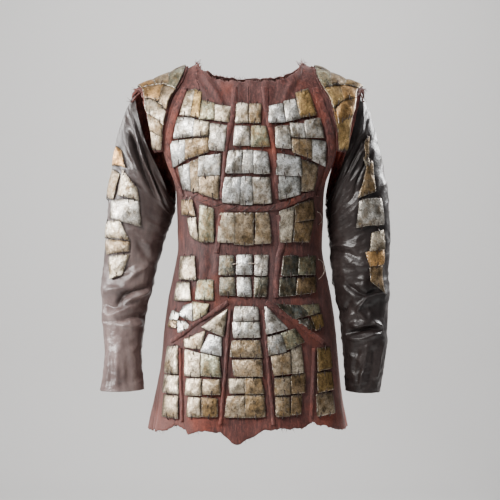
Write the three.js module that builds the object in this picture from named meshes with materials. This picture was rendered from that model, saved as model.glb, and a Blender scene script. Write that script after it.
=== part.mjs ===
// Lamellar armour tunic: two hide panels, plates laced on in rows, hung shoulder caps and long sleeves.
// Millimetres, +Z up, front towards -Y, the wearer's left towards +X.
// The origin lies midway between the shoulders, at the height where they bear the garment.
import * as THREE from 'three';

// Leather, seams and plate thicknesses
const hideWall = 2.2;
const capWall = 2.0;
const sleeveWall = 2.0;
const seamGap = 0.3;
const capLift = 3.9; // underside of a cap above the inner face of the panels
const plateSeat = 1.1; // underside of a plate field above its leather
const grooveTop = 2.0; // bottom of the groove between two plates
const plateTop = 2.6; // upper edge of a plate
const plateFoot = 3.8; // lower edge of a plate, which laps the row below
const plateCrown = 0.5; // how far the middle of a plate stands proud of its sides
const grooveHalf = 1.5;
const rowGap = 1.6;
const plateSag = 0.6; // how far a flat stretch of plate may stray from the curve below it
const weltSeat = 0.9;
const weltHeight = 4.2;
const weltShoulder = { wide: 0.72, high: 0.75 }; // shares of a welt's half width and height

// Torso
const roundness = 2.3; // exponent of the body sections
const columnPower = 0.84; // spreads the panel columns evenly round a section
const zRound = -190; // the panels start to round over towards the shoulders here
const zArm = -250; // foot of the armholes
const neckColumn = 1 / 3; // column, of -1 to 1, that ends at the neck point
const neckTop = 10;
const shoulderSlope = 0.43;
const neckSlope = 0.3;
const shoulderEdge = 190; // half width of the panels on the shoulder line
const neckHalf = shoulderEdge * Math.pow(Math.sin(neckColumn * Math.PI / 2), columnPower);
const neckline = [
  { side: -1, low: -36, power: 5 },
  { side: 1, low: -8, power: 4 },
];
const skirtMiddle = -6; // the skirt hangs this far off centre
const hemLevel = -730; // the panel columns are set out at this height

// Millimetres of one row unit, and the step that slopes are taken over
const torsoRow = { unit: 1, step: 0.5 };
const capRow = { unit: 380, step: 0.004 };
const sleeveRow = { unit: 36, step: 0.02 };
const capHub = 100; // a point this far out lies inside the shoulder, below the cap

// Body sections: reach is the half width of the whole oval
const sections = [
  { z: -765, reach: 201, front: 150, back: 148 },
  { z: -676, reach: 189, front: 141, back: 140 },
  { z: -600, reach: 180, front: 133, back: 134 },
  { z: -533, reach: 173, front: 126, back: 128 },
  { z: -471, reach: 165, front: 118, back: 116 },
  { z: -410, reach: 153, front: 108, back: 104 },
  { z: -365, reach: 145, front: 104, back: 98 },
  { z: -300, reach: 147, front: 112, back: 104 },
  { z: -250, reach: 149, front: 121, back: 111 },
  { z: -235, reach: 157, front: 122, back: 111 },
  { z: -207, reach: 173, front: 123, back: 112 },
  { z: -184, reach: 192, front: 123, back: 112 },
  { z: -160, reach: 214, front: 123, back: 112 },
  { z: -120, reach: 248, front: 122, back: 112 },
  { z: -60, reach: 262, front: 122, back: 112 },
  { z: 0, reach: 268, front: 122, back: 112 },
];

// Free edge of the panels at the armhole
const armholeEdge = [
  { z: -250, x: 149 },
  { z: -235, x: 150 },
  { z: -207, x: 160 },
  { z: -184, x: 168 },
  { z: -160, x: 171 },
  { z: -130, x: 171 },
  { z: -100, x: 172 },
  { z: -72, x: 177 },
  { z: -28, x: shoulderEdge },
];

// Ragged lower edge of the front and of the back
const frontHem = [
  { x: -200, z: -736 },
  { x: -172, z: -728 },
  { x: -145, z: -714 },
  { x: -124, z: -716 },
  { x: -119, z: -726 },
  { x: -85, z: -718 },
  { x: -62, z: -720 },
  { x: -25, z: -741 },
  { x: 6, z: -730 },
  { x: 28, z: -716 },
  { x: 98, z: -714 },
  { x: 124, z: -706 },
  { x: 148, z: -714 },
  { x: 173, z: -722 },
  { x: 200, z: -730 },
];
const backHem = [
  { x: -200, z: -740 },
  { x: -150, z: -742 },
  { x: -90, z: -730 },
  { x: -30, z: -738 },
  { x: 40, z: -728 },
  { x: 100, z: -736 },
  { x: 150, z: -730 },
  { x: 200, z: -732 },
];

// Folds that open towards the hem: turn is the angle round the body, 0 at the front, 90 at the left side
const hemFolds = [
  { turn: -66, width: 12, out: 5 },
  { turn: -84, width: 11, out: -12 },
  { turn: -104, width: 16, out: 19 },
  { turn: 68, width: 12, out: 3 },
  { turn: 86, width: 11, out: -6 },
  { turn: 106, width: 14, out: 9 },
  { turn: -34, width: 14, out: 3 },
  { turn: -10, width: 12, out: -3 },
  { turn: 14, width: 12, out: 3 },
  { turn: 40, width: 13, out: -3 },
  { turn: 132, width: 14, out: -6 },
  { turn: 156, width: 13, out: 7 },
  { turn: 180, width: 12, out: -6 },
  { turn: -154, width: 14, out: 7 },
  { turn: -128, width: 12, out: -6 },
];
const foldTop = -540;
const foldFoot = -750;

// A smooth curve through the rows of a table that never overshoots them
function curveThrough(rows, key, value) {
  const sorted = [...rows].sort((a, b) => a[key] - b[key]);
  const xs = sorted.map((row) => row[key]);
  const ys = sorted.map((row) => row[value]);
  const last = xs.length - 1;
  const slopes = xs.slice(1).map((x, i) => (ys[i + 1] - ys[i]) / (x - xs[i]));
  const tangents = xs.map((x, i) => {
    if (i === 0) return slopes[0];
    if (i === last) return slopes[last - 1];
    if (slopes[i - 1] * slopes[i] <= 0) return 0;
    return 2 * slopes[i - 1] * slopes[i] / (slopes[i - 1] + slopes[i]);
  });
  return (x) => {
    if (x <= xs[0]) return ys[0];
    if (x >= xs[last]) return ys[last];
    let i = 0;
    while (x > xs[i + 1]) i++;
    const h = xs[i + 1] - xs[i];
    const t = (x - xs[i]) / h;
    const bend = t * t * (3 - 2 * t);
    const lead = t * (1 - t) * (1 - t) * h * tangents[i];
    const trail = t * t * (t - 1) * h * tangents[i + 1];
    return ys[i] * (1 - bend) + ys[i + 1] * bend + lead + trail;
  };
}

const reachAt = curveThrough(sections, 'z', 'reach');
const frontAt = curveThrough(sections, 'z', 'front');
const backAt = curveThrough(sections, 'z', 'back');
const armholeAt = curveThrough(armholeEdge, 'z', 'x');
const hemAt = { '-1': curveThrough(frontHem, 'x', 'z'), 1: curveThrough(backHem, 'x', 'z') };

function ridgeAt(x) {
  const past = Math.abs(x) - neckHalf;
  return past > 0 ? neckTop - shoulderSlope * past : neckTop - neckSlope * past;
}

function edgeAt(z) {
  return z > zArm ? armholeAt(z) : reachAt(z);
}

function neckEdge(side, x) {
  const cut = neckline.find((row) => row.side === side);
  return cut.low + (neckTop - cut.low) * Math.pow(Math.min(1, Math.abs(x) / neckHalf), cut.power);
}

function foldAt(turn, z) {
  const open = THREE.MathUtils.smoothstep(foldTop - z, 0, foldTop - foldFoot);
  return hemFolds.reduce((sum, fold) => {
    const away = THREE.MathUtils.euclideanModulo(turn - fold.turn + 180, 360) - 180;
    return sum + open * fold.out * Math.exp(-Math.pow(away / fold.width, 2));
  }, 0);
}

// Point of the torso surface; lie is the cosine of the climb towards the shoulder line
function torsoPoint(side, x, z, lie) {
  const reach = reachAt(z);
  const share = Math.min(1, Math.abs(x) / reach);
  const across = Math.pow(Math.max(0, 1 - Math.pow(share, roundness)), 1 / roundness);
  const depth = side < 0 ? frontAt(z) : backAt(z);
  const point = new THREE.Vector3(x, side * depth * across * lie, z);
  const angle = THREE.MathUtils.radToDeg(Math.asin(share)) * Math.sign(x);
  const turn = side < 0 ? angle : 180 - angle;
  const out = new THREE.Vector3(x / (reach * reach), point.y / (depth * depth), 0).normalize();
  return point.addScaledVector(out, foldAt(turn, z));
}

function lieAt(x, z) {
  const climb = THREE.MathUtils.clamp((z - zRound) / (ridgeAt(x) - zRound), 0, 1);
  return Math.sqrt(1 - climb * climb);
}

function torsoSurface(side) {
  return {
    at: (x, z) => torsoPoint(side, x, z, lieAt(x, z)),
    hub: (x, z) => new THREE.Vector3(0, 0, Math.min(z, zRound)),
    row: torsoRow,
  };
}

// A surface gives its points, a hub inside it and its row unit and step.
// lifted raises a point along the outward normal.
function lifted(surface, u, v, height) {
  const step = surface.row.step;
  const point = surface.at(u, v);
  const along = surface.at(u + step, v).sub(surface.at(u - step, v));
  const up = surface.at(u, v + step).sub(surface.at(u, v - step));
  const normal = along.cross(up).normalize();
  const outward = point.clone().sub(surface.hub(u, v));
  return point.addScaledVector(normal, normal.dot(outward) < 0 ? -height : height);
}

// Closed solids
const solid = () => ({ vertices: [], faces: [] });

function addLine(body, points) {
  return points.map((point) => body.vertices.push(point) - 1);
}

// Joins two chains of vertices, of any two lengths, with a strip of triangles
function addStrip(body, first, second) {
  const share = (chain) => {
    let sum = 0;
    const lengths = chain.map((id, i) => {
      if (i > 0) sum += body.vertices[id].distanceTo(body.vertices[chain[i - 1]]);
      return sum;
    });
    return lengths.map((length) => length / sum);
  };
  const a = share(first);
  const b = share(second);
  let i = 0;
  let j = 0;
  while (i < first.length - 1 || j < second.length - 1) {
    const stepFirst = j === second.length - 1 || (i < first.length - 1 && a[i + 1] <= b[j + 1] + 1e-9);
    if (stepFirst) {
      body.faces.push([first[i], first[i + 1], second[j]]);
      i++;
    } else {
      body.faces.push([first[i], second[j + 1], second[j]]);
      j++;
    }
  }
}

// A sheet with an upper and a lower skin, each a list of lines that run the same way
function sheetBody(upper, lower) {
  const body = solid();
  const tops = upper.map((line) => addLine(body, line));
  const feet = lower.map((line) => addLine(body, line));
  const round = [...tops, ...[...feet].reverse()];
  round.forEach((line, i) => addStrip(body, line, round[(i + 1) % round.length]));
  const starts = (lines) => lines.map((line) => line[0]);
  const ends = (lines) => lines.map((line) => line[line.length - 1]);
  addStrip(body, starts(tops), starts(feet));
  addStrip(body, ends(feet), ends(tops));
  return body;
}

// A tube wall from outer and inner rings
function tubeBody(outer, inner) {
  const body = solid();
  const rings = [...outer, ...[...inner].reverse()].map((ring) => addLine(body, ring));
  rings.forEach((ring, i) => {
    const next = rings[(i + 1) % rings.length];
    ring.forEach((id, j) => {
      const k = (j + 1) % ring.length;
      body.faces.push([id, ring[k], next[k]], [id, next[k], next[j]]);
    });
  });
  return body;
}

// A strap or welt from rings of section points, with flat ends
function weltBody(rings) {
  const body = solid();
  const lines = rings.map((ring) => addLine(body, ring));
  lines.slice(1).forEach((ring, i) => {
    const before = lines[i];
    ring.forEach((id, j) => {
      const k = (j + 1) % ring.length;
      body.faces.push([before[j], before[k], ring[k]], [before[j], ring[k], id]);
    });
  });
  const first = lines[0];
  const last = lines[lines.length - 1];
  for (let j = 1; j < first.length - 1; j++) {
    body.faces.push([first[0], first[j + 1], first[j]], [last[0], last[j], last[j + 1]]);
  }
  return body;
}

const group = new THREE.Group();

function addPiece(name, body, material) {
  const corner = (face, k) => body.vertices[face[k]];
  const volume = body.faces.reduce((sum, face) => {
    return sum + corner(face, 0).dot(corner(face, 1).clone().cross(corner(face, 2)));
  }, 0);
  const ordered = volume < 0 ? body.faces.map((face) => [face[0], face[2], face[1]]) : body.faces;
  const geometry = new THREE.BufferGeometry();
  const positions = body.vertices.flatMap((point) => point.toArray());
  geometry.setAttribute('position', new THREE.Float32BufferAttribute(positions, 3));
  geometry.setIndex(ordered.flat());
  geometry.computeVertexNormals();
  const mesh = new THREE.Mesh(geometry, material);
  mesh.name = name;
  group.add(mesh);
}

function finish(color, roughness, metalness) {
  return new THREE.MeshStandardMaterial({ color, roughness, metalness });
}
const hide = finish(0x7a3c31, 0.85, 0);
const rolledHide = finish(0x8a4336, 0.8, 0);
const darkLeather = finish(0x3b2c2a, 0.5, 0);
const paleMetal = finish(0xb9b4aa, 0.5, 0.6);
const ochreMetal = finish(0xb39763, 0.55, 0.5);
const greyMetal = finish(0x77766a, 0.55, 0.6);

// Front and back panels
const columnX = (s, z) => Math.sign(s) * Math.pow(Math.abs(Math.sin(s * Math.PI / 2)), columnPower) * edgeAt(z);

function topAngle(side, s) {
  if (Math.abs(s) > neckColumn - 1e-6) return Math.PI / 2;
  let x = columnX(s, neckTop);
  for (let pass = 0; pass < 8; pass++) x = columnX(s, neckEdge(side, x));
  return Math.asin((neckEdge(side, x) - zRound) / (ridgeAt(x) - zRound));
}

function climbPlace(s, angle) {
  let z = neckTop;
  for (let pass = 0; pass < 24; pass++) z = zRound + (ridgeAt(columnX(s, z)) - zRound) * Math.sin(angle);
  return { x: columnX(s, z), z, lie: Math.cos(angle) };
}

// Rows of a panel from the neck and shoulder line down to the hem
function panelPlaces(side, s, counts) {
  const places = [];
  const top = topAngle(side, s);
  for (let i = 0; i < counts.upper; i++) places.push(climbPlace(s, top * (1 - i / counts.upper)));
  for (let i = 0; i < counts.chest; i++) {
    const z = THREE.MathUtils.lerp(zRound, zArm, i / counts.chest);
    places.push({ x: columnX(s, z), z, lie: 1 });
  }
  for (let i = 0; i <= counts.skirt; i++) {
    const share = i / counts.skirt;
    const hemX = columnX(s, hemLevel);
    const z = THREE.MathUtils.lerp(zArm, hemAt[side](hemX), share);
    places.push({ x: columnX(s, z), z, lie: 1, seam: Math.abs(s) > 1 - 1e-6 });
  }
  if (Math.abs(s) > neckColumn - 1e-6) places[0].seam = true;
  return places;
}

function panel(name, side, counts) {
  const grid = [];
  for (let j = 0; j <= counts.columns; j++) {
    grid.push(panelPlaces(side, -1 + 2 * j / counts.columns, counts));
  }
  const points = grid.map((column) => column.map((place) => {
    const point = torsoPoint(side, place.x, place.z, place.lie);
    if (place.seam) point.y = side * seamGap / 2;
    return point;
  }));
  const near = (j, i) => {
    const columnBefore = points[Math.max(0, j - 1)][i];
    const columnAfter = points[Math.min(counts.columns, j + 1)][i];
    const last = points[j].length - 1;
    const rowBefore = points[j][Math.max(0, i - 1)];
    const rowAfter = points[j][Math.min(last, i + 1)];
    const normal = columnAfter.clone().sub(columnBefore).cross(rowBefore.clone().sub(rowAfter));
    if (grid[j][i].seam) normal.y = 0;
    return normal.normalize().multiplyScalar(-side);
  };
  const lines = (height) => points[0].map((unused, i) => points.map((column, j) => {
    return column[i].clone().addScaledVector(near(j, i), height);
  }));
  addPiece(name, sheetBody(lines(hideWall), lines(0)), hide);
}

panel('front_panel', -1, { columns: 24, upper: 8, chest: 4, skirt: 15 });
panel('back_panel', 1, { columns: 18, upper: 7, chest: 4, skirt: 16 });

// Shoulder caps: climb is the sine of the angle from the chest up to the shoulder line
const capEdges = [
  { climb: 0.11, inner: 170, outer: 186 },
  { climb: 0.14, inner: 169.5, outer: 189 },
  { climb: 0.31, inner: 168, outer: 193 },
  { climb: 0.51, inner: 162, outer: 200.5 },
  { climb: 0.65, inner: 154, outer: 207.5 },
  { climb: 0.78, inner: 138, outer: 212 },
  { climb: 0.88, inner: 128, outer: 217 },
  { climb: 0.97, inner: 125, outer: 228 },
  { climb: 1, inner: 124, outer: 234 },
];
const capFoot = Math.asin(capEdges[0].climb);
const capInnerAt = curveThrough(capEdges, 'climb', 'inner');
const capOuterAt = curveThrough(capEdges, 'climb', 'outer');
const capAcross = 6;
const capAlong = 16;

// Cap surface: a runs from the neck side, 0, to the arm side, 1; b from the front foot, 0, to the back, 1
function capSurface(hand) {
  const place = (a, b) => {
    const angle = THREE.MathUtils.lerp(capFoot, Math.PI - capFoot, b);
    const climb = Math.min(1, Math.sin(angle));
    const x = THREE.MathUtils.lerp(capInnerAt(climb), capOuterAt(climb), a);
    return { x, z: zRound + (ridgeAt(x) - zRound) * Math.sin(angle), lie: Math.cos(angle) };
  };
  return {
    at: (a, b) => {
      const { x, z, lie } = place(a, b);
      return torsoPoint(lie > 0 ? -1 : 1, hand * x, z, Math.abs(lie));
    },
    hub: () => new THREE.Vector3(hand * capHub, 0, zRound),
    row: capRow,
  };
}

function cap(name, hand) {
  const surface = capSurface(hand);
  const lines = (height) => Array.from({ length: capAlong + 1 }, (unused, i) => {
    return Array.from({ length: capAcross + 1 }, (none, j) => {
      return lifted(surface, j / capAcross, i / capAlong, height);
    });
  });
  addPiece(name, sheetBody(lines(capLift + capWall), lines(capLift)), hide);
}

cap('cap_right', -1);
cap('cap_left', 1);

// Sleeves: each row is a ring from its outermost to its innermost point, seen from the front.
// deep is the ring's half depth, back its centre behind the shoulder line, lean turns its mouth forward.
const sleeves = {
  sleeve_right: {
    hand: -1,
    rings: [
      { xo: 231, zo: -42, xi: 156, zi: -264, deep: 52, back: 0, lean: 15 },
      { xo: 243, zo: -64, xi: 155, zi: -270, deep: 54, back: 0, lean: 13 },
      { xo: 254, zo: -90, xi: 154, zi: -276, deep: 56, back: 0, lean: 11 },
      { xo: 265, zo: -118, xi: 154, zi: -283, deep: 57, back: 1, lean: 8 },
      { xo: 275, zo: -152, xi: 155, zi: -291, deep: 58, back: 2, lean: 5 },
      { xo: 281, zo: -192, xi: 158, zi: -301, deep: 59, back: 3, lean: 3 },
      { xo: 285, zo: -232, xi: 162, zi: -314, deep: 60, back: 4, lean: 1 },
      { xo: 289, zo: -270, xi: 168, zi: -330, deep: 60, back: 5, lean: 0 },
      { xo: 293, zo: -307, xi: 175, zi: -350, deep: 58, back: 5, lean: 0 },
      { xo: 296, zo: -343, xi: 182, zi: -373, deep: 56, back: 4, lean: 0 },
      { xo: 299, zo: -378, xi: 189, zi: -398, deep: 55, back: 2, lean: 0 },
      { xo: 301, zo: -412, xi: 195, zi: -425, deep: 53, back: -2, lean: 0 },
      { xo: 302, zo: -446, xi: 200, zi: -452, deep: 51, back: -7, lean: 0 },
      { xo: 302, zo: -480, xi: 205, zi: -480, deep: 49, back: -12, lean: 0 },
      { xo: 298, zo: -512, xi: 210, zi: -509, deep: 47, back: -18, lean: 0 },
      { xo: 296, zo: -544, xi: 216, zi: -540, deep: 45, back: -23, lean: 0 },
      { xo: 293, zo: -574, xi: 220, zi: -571, deep: 43, back: -28, lean: 0 },
      { xo: 295, zo: -604, xi: 219, zi: -603, deep: 42, back: -31, lean: 0 },
      { xo: 299, zo: -630, xi: 216, zi: -630, deep: 42, back: -33, lean: 0 },
      { xo: 303, zo: -652, xi: 213, zi: -650, deep: 43, back: -35, lean: 0 },
    ],
    folds: [
      { ring: 5.2, turn: 70, tall: 0.8, wide: 50, out: -5 },
      { ring: 6.6, turn: 35, tall: 0.7, wide: 45, out: 4 },
      { ring: 12.2, turn: 60, tall: 0.6, wide: 70, out: 5 },
      { ring: 13.1, turn: 70, tall: 0.5, wide: 70, out: -6 },
      { ring: 14.0, turn: 60, tall: 0.6, wide: 70, out: 5 },
      { ring: 13.4, turn: 180, tall: 0.6, wide: 60, out: -5 },
      { ring: 16.4, turn: 80, tall: 0.7, wide: 60, out: 3 },
    ],
  },
  sleeve_left: {
    hand: 1,
    rings: [
      { xo: 225, zo: -39.2, xi: 157, zi: -266, deep: 52.8, back: 0, lean: 8 },
      { xo: 236, zo: -66, xi: 156, zi: -272, deep: 54.8, back: 0, lean: 7 },
      { xo: 245, zo: -92, xi: 156, zi: -279, deep: 56, back: 0, lean: 6 },
      { xo: 254, zo: -120, xi: 156, zi: -287, deep: 57, back: 1, lean: 4 },
      { xo: 263, zo: -154, xi: 157, zi: -297, deep: 58, back: 2, lean: 3 },
      { xo: 272, zo: -192, xi: 158, zi: -310, deep: 59, back: 3, lean: 2 },
      { xo: 279, zo: -232, xi: 159, zi: -325, deep: 60, back: 4, lean: 1 },
      { xo: 284, zo: -272, xi: 161, zi: -343, deep: 60, back: 5, lean: 0 },
      { xo: 287, zo: -312, xi: 163, zi: -364, deep: 58, back: 4, lean: 0 },
      { xo: 288, zo: -350, xi: 165, zi: -388, deep: 56, back: 1, lean: 0 },
      { xo: 286, zo: -386, xi: 167, zi: -413, deep: 55, back: -3, lean: 0 },
      { xo: 284, zo: -421, xi: 170, zi: -440, deep: 53, back: -8, lean: 0 },
      { xo: 282, zo: -455, xi: 174, zi: -468, deep: 51, back: -13, lean: 0 },
      { xo: 280, zo: -489, xi: 178, zi: -497, deep: 49, back: -18, lean: 0 },
      { xo: 279, zo: -522, xi: 182, zi: -526, deep: 47, back: -23, lean: 0 },
      { xo: 277, zo: -554, xi: 186, zi: -556, deep: 45, back: -28, lean: 0 },
      { xo: 273, zo: -584, xi: 189, zi: -585, deep: 43, back: -32, lean: 0 },
      { xo: 269, zo: -611, xi: 191, zi: -612, deep: 42, back: -35, lean: 0 },
      { xo: 265, zo: -634, xi: 192, zi: -634, deep: 42, back: -37, lean: 0 },
      { xo: 262, zo: -654, xi: 192, zi: -652, deep: 43, back: -38, lean: 0 },
    ],
    folds: [
      { ring: 4.8, turn: 60, tall: 0.7, wide: 40, out: -4 },
      { ring: 6.4, turn: 40, tall: 0.7, wide: 45, out: 4 },
      { ring: 11.2, turn: 60, tall: 0.6, wide: 60, out: -5 },
      { ring: 12.2, turn: 50, tall: 0.6, wide: 65, out: 5 },
      { ring: 13.4, turn: 65, tall: 0.5, wide: 65, out: -5 },
      { ring: 13.0, turn: 180, tall: 0.6, wide: 60, out: -4 },
      { ring: 15.4, turn: 70, tall: 0.7, wide: 60, out: 3 },
    ],
  },
};
const sleeveSides = 16;

// Sleeve surface: turn in degrees, 0 on the outside and 90 in front; ring counts down the arm
function sleeveSurface(sleeve) {
  const last = sleeve.rings.length - 1;
  const outerEnd = (row) => new THREE.Vector3(sleeve.hand * row.xo, row.back, row.zo);
  const innerEnd = (row) => new THREE.Vector3(sleeve.hand * row.xi, row.back, row.zi);
  const onRing = (i, turn) => {
    const row = sleeve.rings[i];
    const angle = THREE.MathUtils.degToRad(turn);
    const swell = sleeve.folds.reduce((sum, fold) => {
      const away = THREE.MathUtils.euclideanModulo(turn - fold.turn + 180, 360) - 180;
      return sum + fold.out * Math.exp(-Math.pow(away / fold.wide, 2) - Math.pow((i - fold.ring) / fold.tall, 2));
    }, 0);
    const point = outerEnd(row).lerp(innerEnd(row), 0.5);
    const arm = outerEnd(row).sub(point);
    point.addScaledVector(arm, Math.cos(angle) * (1 + swell / arm.length()));
    point.y -= (row.deep + swell) * Math.sin(angle);
    point.x += sleeve.hand * row.lean * Math.sin(angle);
    return point;
  };
  const between = (ring, pick) => {
    const place = THREE.MathUtils.clamp(ring, 0, last);
    const i = Math.min(last - 1, Math.floor(place));
    return pick(i).lerp(pick(i + 1), place - i);
  };
  return {
    at: (turn, ring) => between(ring, (i) => onRing(i, turn)),
    hub: (turn, ring) => between(ring, (i) => outerEnd(sleeve.rings[i]).lerp(innerEnd(sleeve.rings[i]), 0.5)),
    row: sleeveRow,
  };
}

function sleeveRing(surface, ring, height) {
  return Array.from({ length: sleeveSides }, (unused, j) => {
    return lifted(surface, 360 * j / sleeveSides, ring, height);
  });
}

for (const [name, sleeve] of Object.entries(sleeves)) {
  const surface = sleeveSurface(sleeve);
  const outer = sleeve.rings.map((unused, i) => sleeveRing(surface, i, 0));
  const inner = sleeve.rings.map((unused, i) => sleeveRing(surface, i, -sleeveWall));
  addPiece(name, tubeBody(outer, inner), darkLeather);
}

// Welts and bands: x, z and width at points along them, on the front or back
function welt(name, side, hand, middle, path) {
  const surface = torsoSurface(side);
  const places = path.map((row, i) => ({ ...row, place: i }));
  const [xAt, zAt, widthAt] = ['x', 'z', 'width'].map((value) => curveThrough(places, 'place', value));
  const place = (t, height) => lifted(surface, middle + hand * xAt(t), zAt(t), hideWall + height);
  const stepsPerRow = 2;
  const steps = (path.length - 1) * stepsPerRow;
  const rings = Array.from({ length: steps + 1 }, (unused, i) => {
    const t = i / stepsPerRow;
    const foot = place(t, weltSeat);
    const rise = place(t, weltSeat + 1).sub(foot);
    const run = place(Math.min(t + 0.1, path.length - 1), weltSeat).sub(place(Math.max(t - 0.1, 0), weltSeat));
    const across = rise.clone().cross(run).normalize();
    const half = widthAt(t) / 2;
    const spot = (wide, high) => {
      const point = foot.clone().addScaledVector(across, wide * half);
      return point.addScaledVector(rise, high * (weltHeight - weltSeat));
    };
    const { wide, high } = weltShoulder;
    return [spot(-1, 0), spot(-wide, high), spot(0, 1), spot(wide, high), spot(1, 0)];
  });
  addPiece(name, weltBody(rings), rolledHide);
}

const pipingPath = [
  { x: 128, z: -50, width: 13 },
  { x: 137.5, z: -76, width: 16 },
  { x: 149, z: -110, width: 16 },
  { x: 157, z: -150, width: 16 },
  { x: 157.5, z: -182, width: 16 },
  { x: 151, z: -207, width: 14 },
  { x: 141, z: -232, width: 12 },
  { x: 134.5, z: -247, width: 10 },
  { x: 131, z: -262, width: 8 },
];
const upperWelt = [
  { x: 29, z: -50, width: 13 },
  { x: 30.5, z: -83, width: 13 },
  { x: 37, z: -123, width: 12 },
  { x: 42.5, z: -147, width: 10 },
  { x: 46.7, z: -172, width: 9 },
  { x: 50.8, z: -222, width: 10.5 },
  { x: 54.5, z: -268, width: 9.5 },
];
const lowerWelts = {
  right: [
    { x: 56.5, z: -300, width: 10.5 },
    { x: 59.5, z: -330, width: 12 },
    { x: 62, z: -355, width: 12 },
    { x: 65, z: -375, width: 11 },
  ],
  left: [
    { x: 56.5, z: -300, width: 10.5 },
    { x: 59.5, z: -330, width: 12 },
    { x: 61.5, z: -355, width: 12 },
    { x: 55, z: -383, width: 11 },
    { x: 51.5, z: -421, width: 11 },
    { x: 50, z: -463, width: 11 },
  ],
};
const hipWelt = [
  { x: 37, z: -471, width: 9 },
  { x: 65, z: -491, width: 10 },
  { x: 94, z: -509, width: 10 },
  { x: 122, z: -531, width: 10 },
  { x: 148, z: -551, width: 10 },
];
const skirtWelt = [
  { x: 32.5, z: -486, width: 7 },
  { x: 37, z: -540, width: 7.5 },
  { x: 41, z: -600, width: 7.5 },
  { x: 46, z: -650, width: 7.5 },
  { x: 50.5, z: -706, width: 8 },
];
const outerWelt = [
  { x: 129, z: -562, width: 7 },
  { x: 128, z: -610, width: 7 },
  { x: 126, z: -655, width: 7 },
  { x: 124, z: -704, width: 7 },
];
const backWelt = [
  { x: 60, z: -40, width: 11 },
  { x: 61, z: -80, width: 11 },
  { x: 62, z: -130, width: 11 },
  { x: 62, z: -180, width: 11 },
  { x: 60, z: -260, width: 11 },
  { x: 56, z: -350, width: 11 },
  { x: 58, z: -440, width: 11 },
  { x: 64, z: -530, width: 11 },
  { x: 70, z: -620, width: 11 },
  { x: 74, z: -708, width: 11 },
];
const chestBand = [
  { x: -122, z: -256, width: 14 },
  { x: -100, z: -264, width: 14 },
  { x: -80, z: -273, width: 14 },
  { x: -57, z: -282, width: 13 },
  { x: -30, z: -287, width: 13 },
  { x: 0, z: -288, width: 13 },
  { x: 30, z: -287, width: 13 },
  { x: 57, z: -282, width: 13 },
  { x: 80, z: -273, width: 14 },
  { x: 100, z: -264, width: 14 },
  { x: 122, z: -256, width: 14 },
];
const hands = { right: -1, left: 1 };

welt('band_under_chest', -1, 1, 0, chestBand);
for (const [handName, hand] of Object.entries(hands)) {
  welt(`piping_${handName}`, -1, hand, 0, pipingPath);
  welt(`welt_upper_${handName}`, -1, hand, 0, upperWelt);
  welt(`welt_lower_${handName}`, -1, hand, 0, lowerWelts[handName]);
  welt(`welt_hip_${handName}`, -1, hand, skirtMiddle, hipWelt);
  welt(`welt_skirt_${handName}`, -1, hand, skirtMiddle, skirtWelt);
  welt(`welt_outer_${handName}`, -1, hand, skirtMiddle, outerWelt);
  welt(`welt_back_${handName}`, 1, hand, 0, backWelt);
}

// Fewest equal steps along a curve whose chords stay close to it
function stepsAlong(curve, fewest) {
  const strays = (steps) => {
    return Array.from({ length: steps }, (unused, k) => k).some((k) => {
      const chord = curve(k / steps).lerp(curve((k + 1) / steps), 0.5);
      return chord.distanceTo(curve((k + 0.5) / steps)) > plateSag;
    });
  };
  let steps = fewest;
  while (strays(steps)) steps++;
  return steps;
}

function mix(a, b, share) {
  return { x: THREE.MathUtils.lerp(a.x, b.x, share), z: THREE.MathUtils.lerp(a.z, b.z, share) };
}

// Plate fields. Each row of a table is a line between two rows of plates, from (xo, zo) to (xi, zi).
// bow lifts its middle, and n plates hang below it.
function plateField(name, surface, place, lines, leather, material) {
  const spot = (line, t, shift) => {
    const x = THREE.MathUtils.lerp(line.xo, line.xi, t);
    const z = THREE.MathUtils.lerp(line.zo, line.zi, t) + (line.bow ?? 0) * 4 * t * (1 - t) + shift;
    return { x, z };
  };
  const lift = (at, height) => lifted(surface, ...place(at.x, at.z), leather + height);
  const upper = [];
  const lower = [];
  lines.slice(0, -1).forEach((line, r) => {
    const next = lines[r + 1];
    const width = lift(spot(line, 0, 0), 0).distanceTo(lift(spot(line, 1, 0), 0));
    const down = (t) => (share) => lift(mix(spot(line, t, 0), spot(next, t, 0), share), 0);
    const parts = Math.max(...[0, 0.5, 1].map((t) => stepsAlong(down(t), 1)));
    const groove = Math.min(grooveHalf / Math.max(width, 1), 0.2 / line.n);
    const marks = [];
    for (let k = 0; k < line.n; k++) {
      marks.push({ t: (k + (k ? groove * line.n : 0)) / line.n, rise: 0 });
      marks.push({ t: (k + 0.5) / line.n, rise: plateCrown });
      marks.push({ t: (k + 1 - (k < line.n - 1 ? groove * line.n : 0)) / line.n, rise: 0 });
      if (k < line.n - 1) marks.push({ t: (k + 1) / line.n, groove: true });
    }
    const under = Math.max(...[line, next].map((end) => stepsAlong((t) => lift(spot(end, t, 0), 0), line.n)));
    const halfGap = Math.sign(line.zi - next.zi) * rowGap / 2 / surface.row.unit;
    const gapAbove = r ? halfGap : 0;
    const gapBelow = r < lines.length - 2 ? halfGap : 0;
    const between = (t, share) => {
      const a = spot(line, t, -gapAbove);
      const b = spot(next, t, gapBelow);
      return mix(a, b, share);
    };
    for (let p = 0; p <= parts; p++) {
      const share = p / parts;
      const skin = THREE.MathUtils.lerp(plateTop, plateFoot, share);
      upper.push(marks.map((mark) => lift(between(mark.t, share), mark.groove ? grooveTop : skin + mark.rise)));
      if (p < parts || r === lines.length - 2) {
        const spots = Array.from({ length: under + 1 }, (unused, k) => between(k / under, share));
        lower.push(spots.map((at) => lift(at, plateSeat)));
      }
    }
  });
  addPiece(name, sheetBody(upper, lower), material);
}

const front = torsoSurface(-1);
const back = torsoSurface(1);
const straight = (half, z, n, middle = 0) => ({ xo: middle - half, zo: z, xi: middle + half, zi: z, n });

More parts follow.
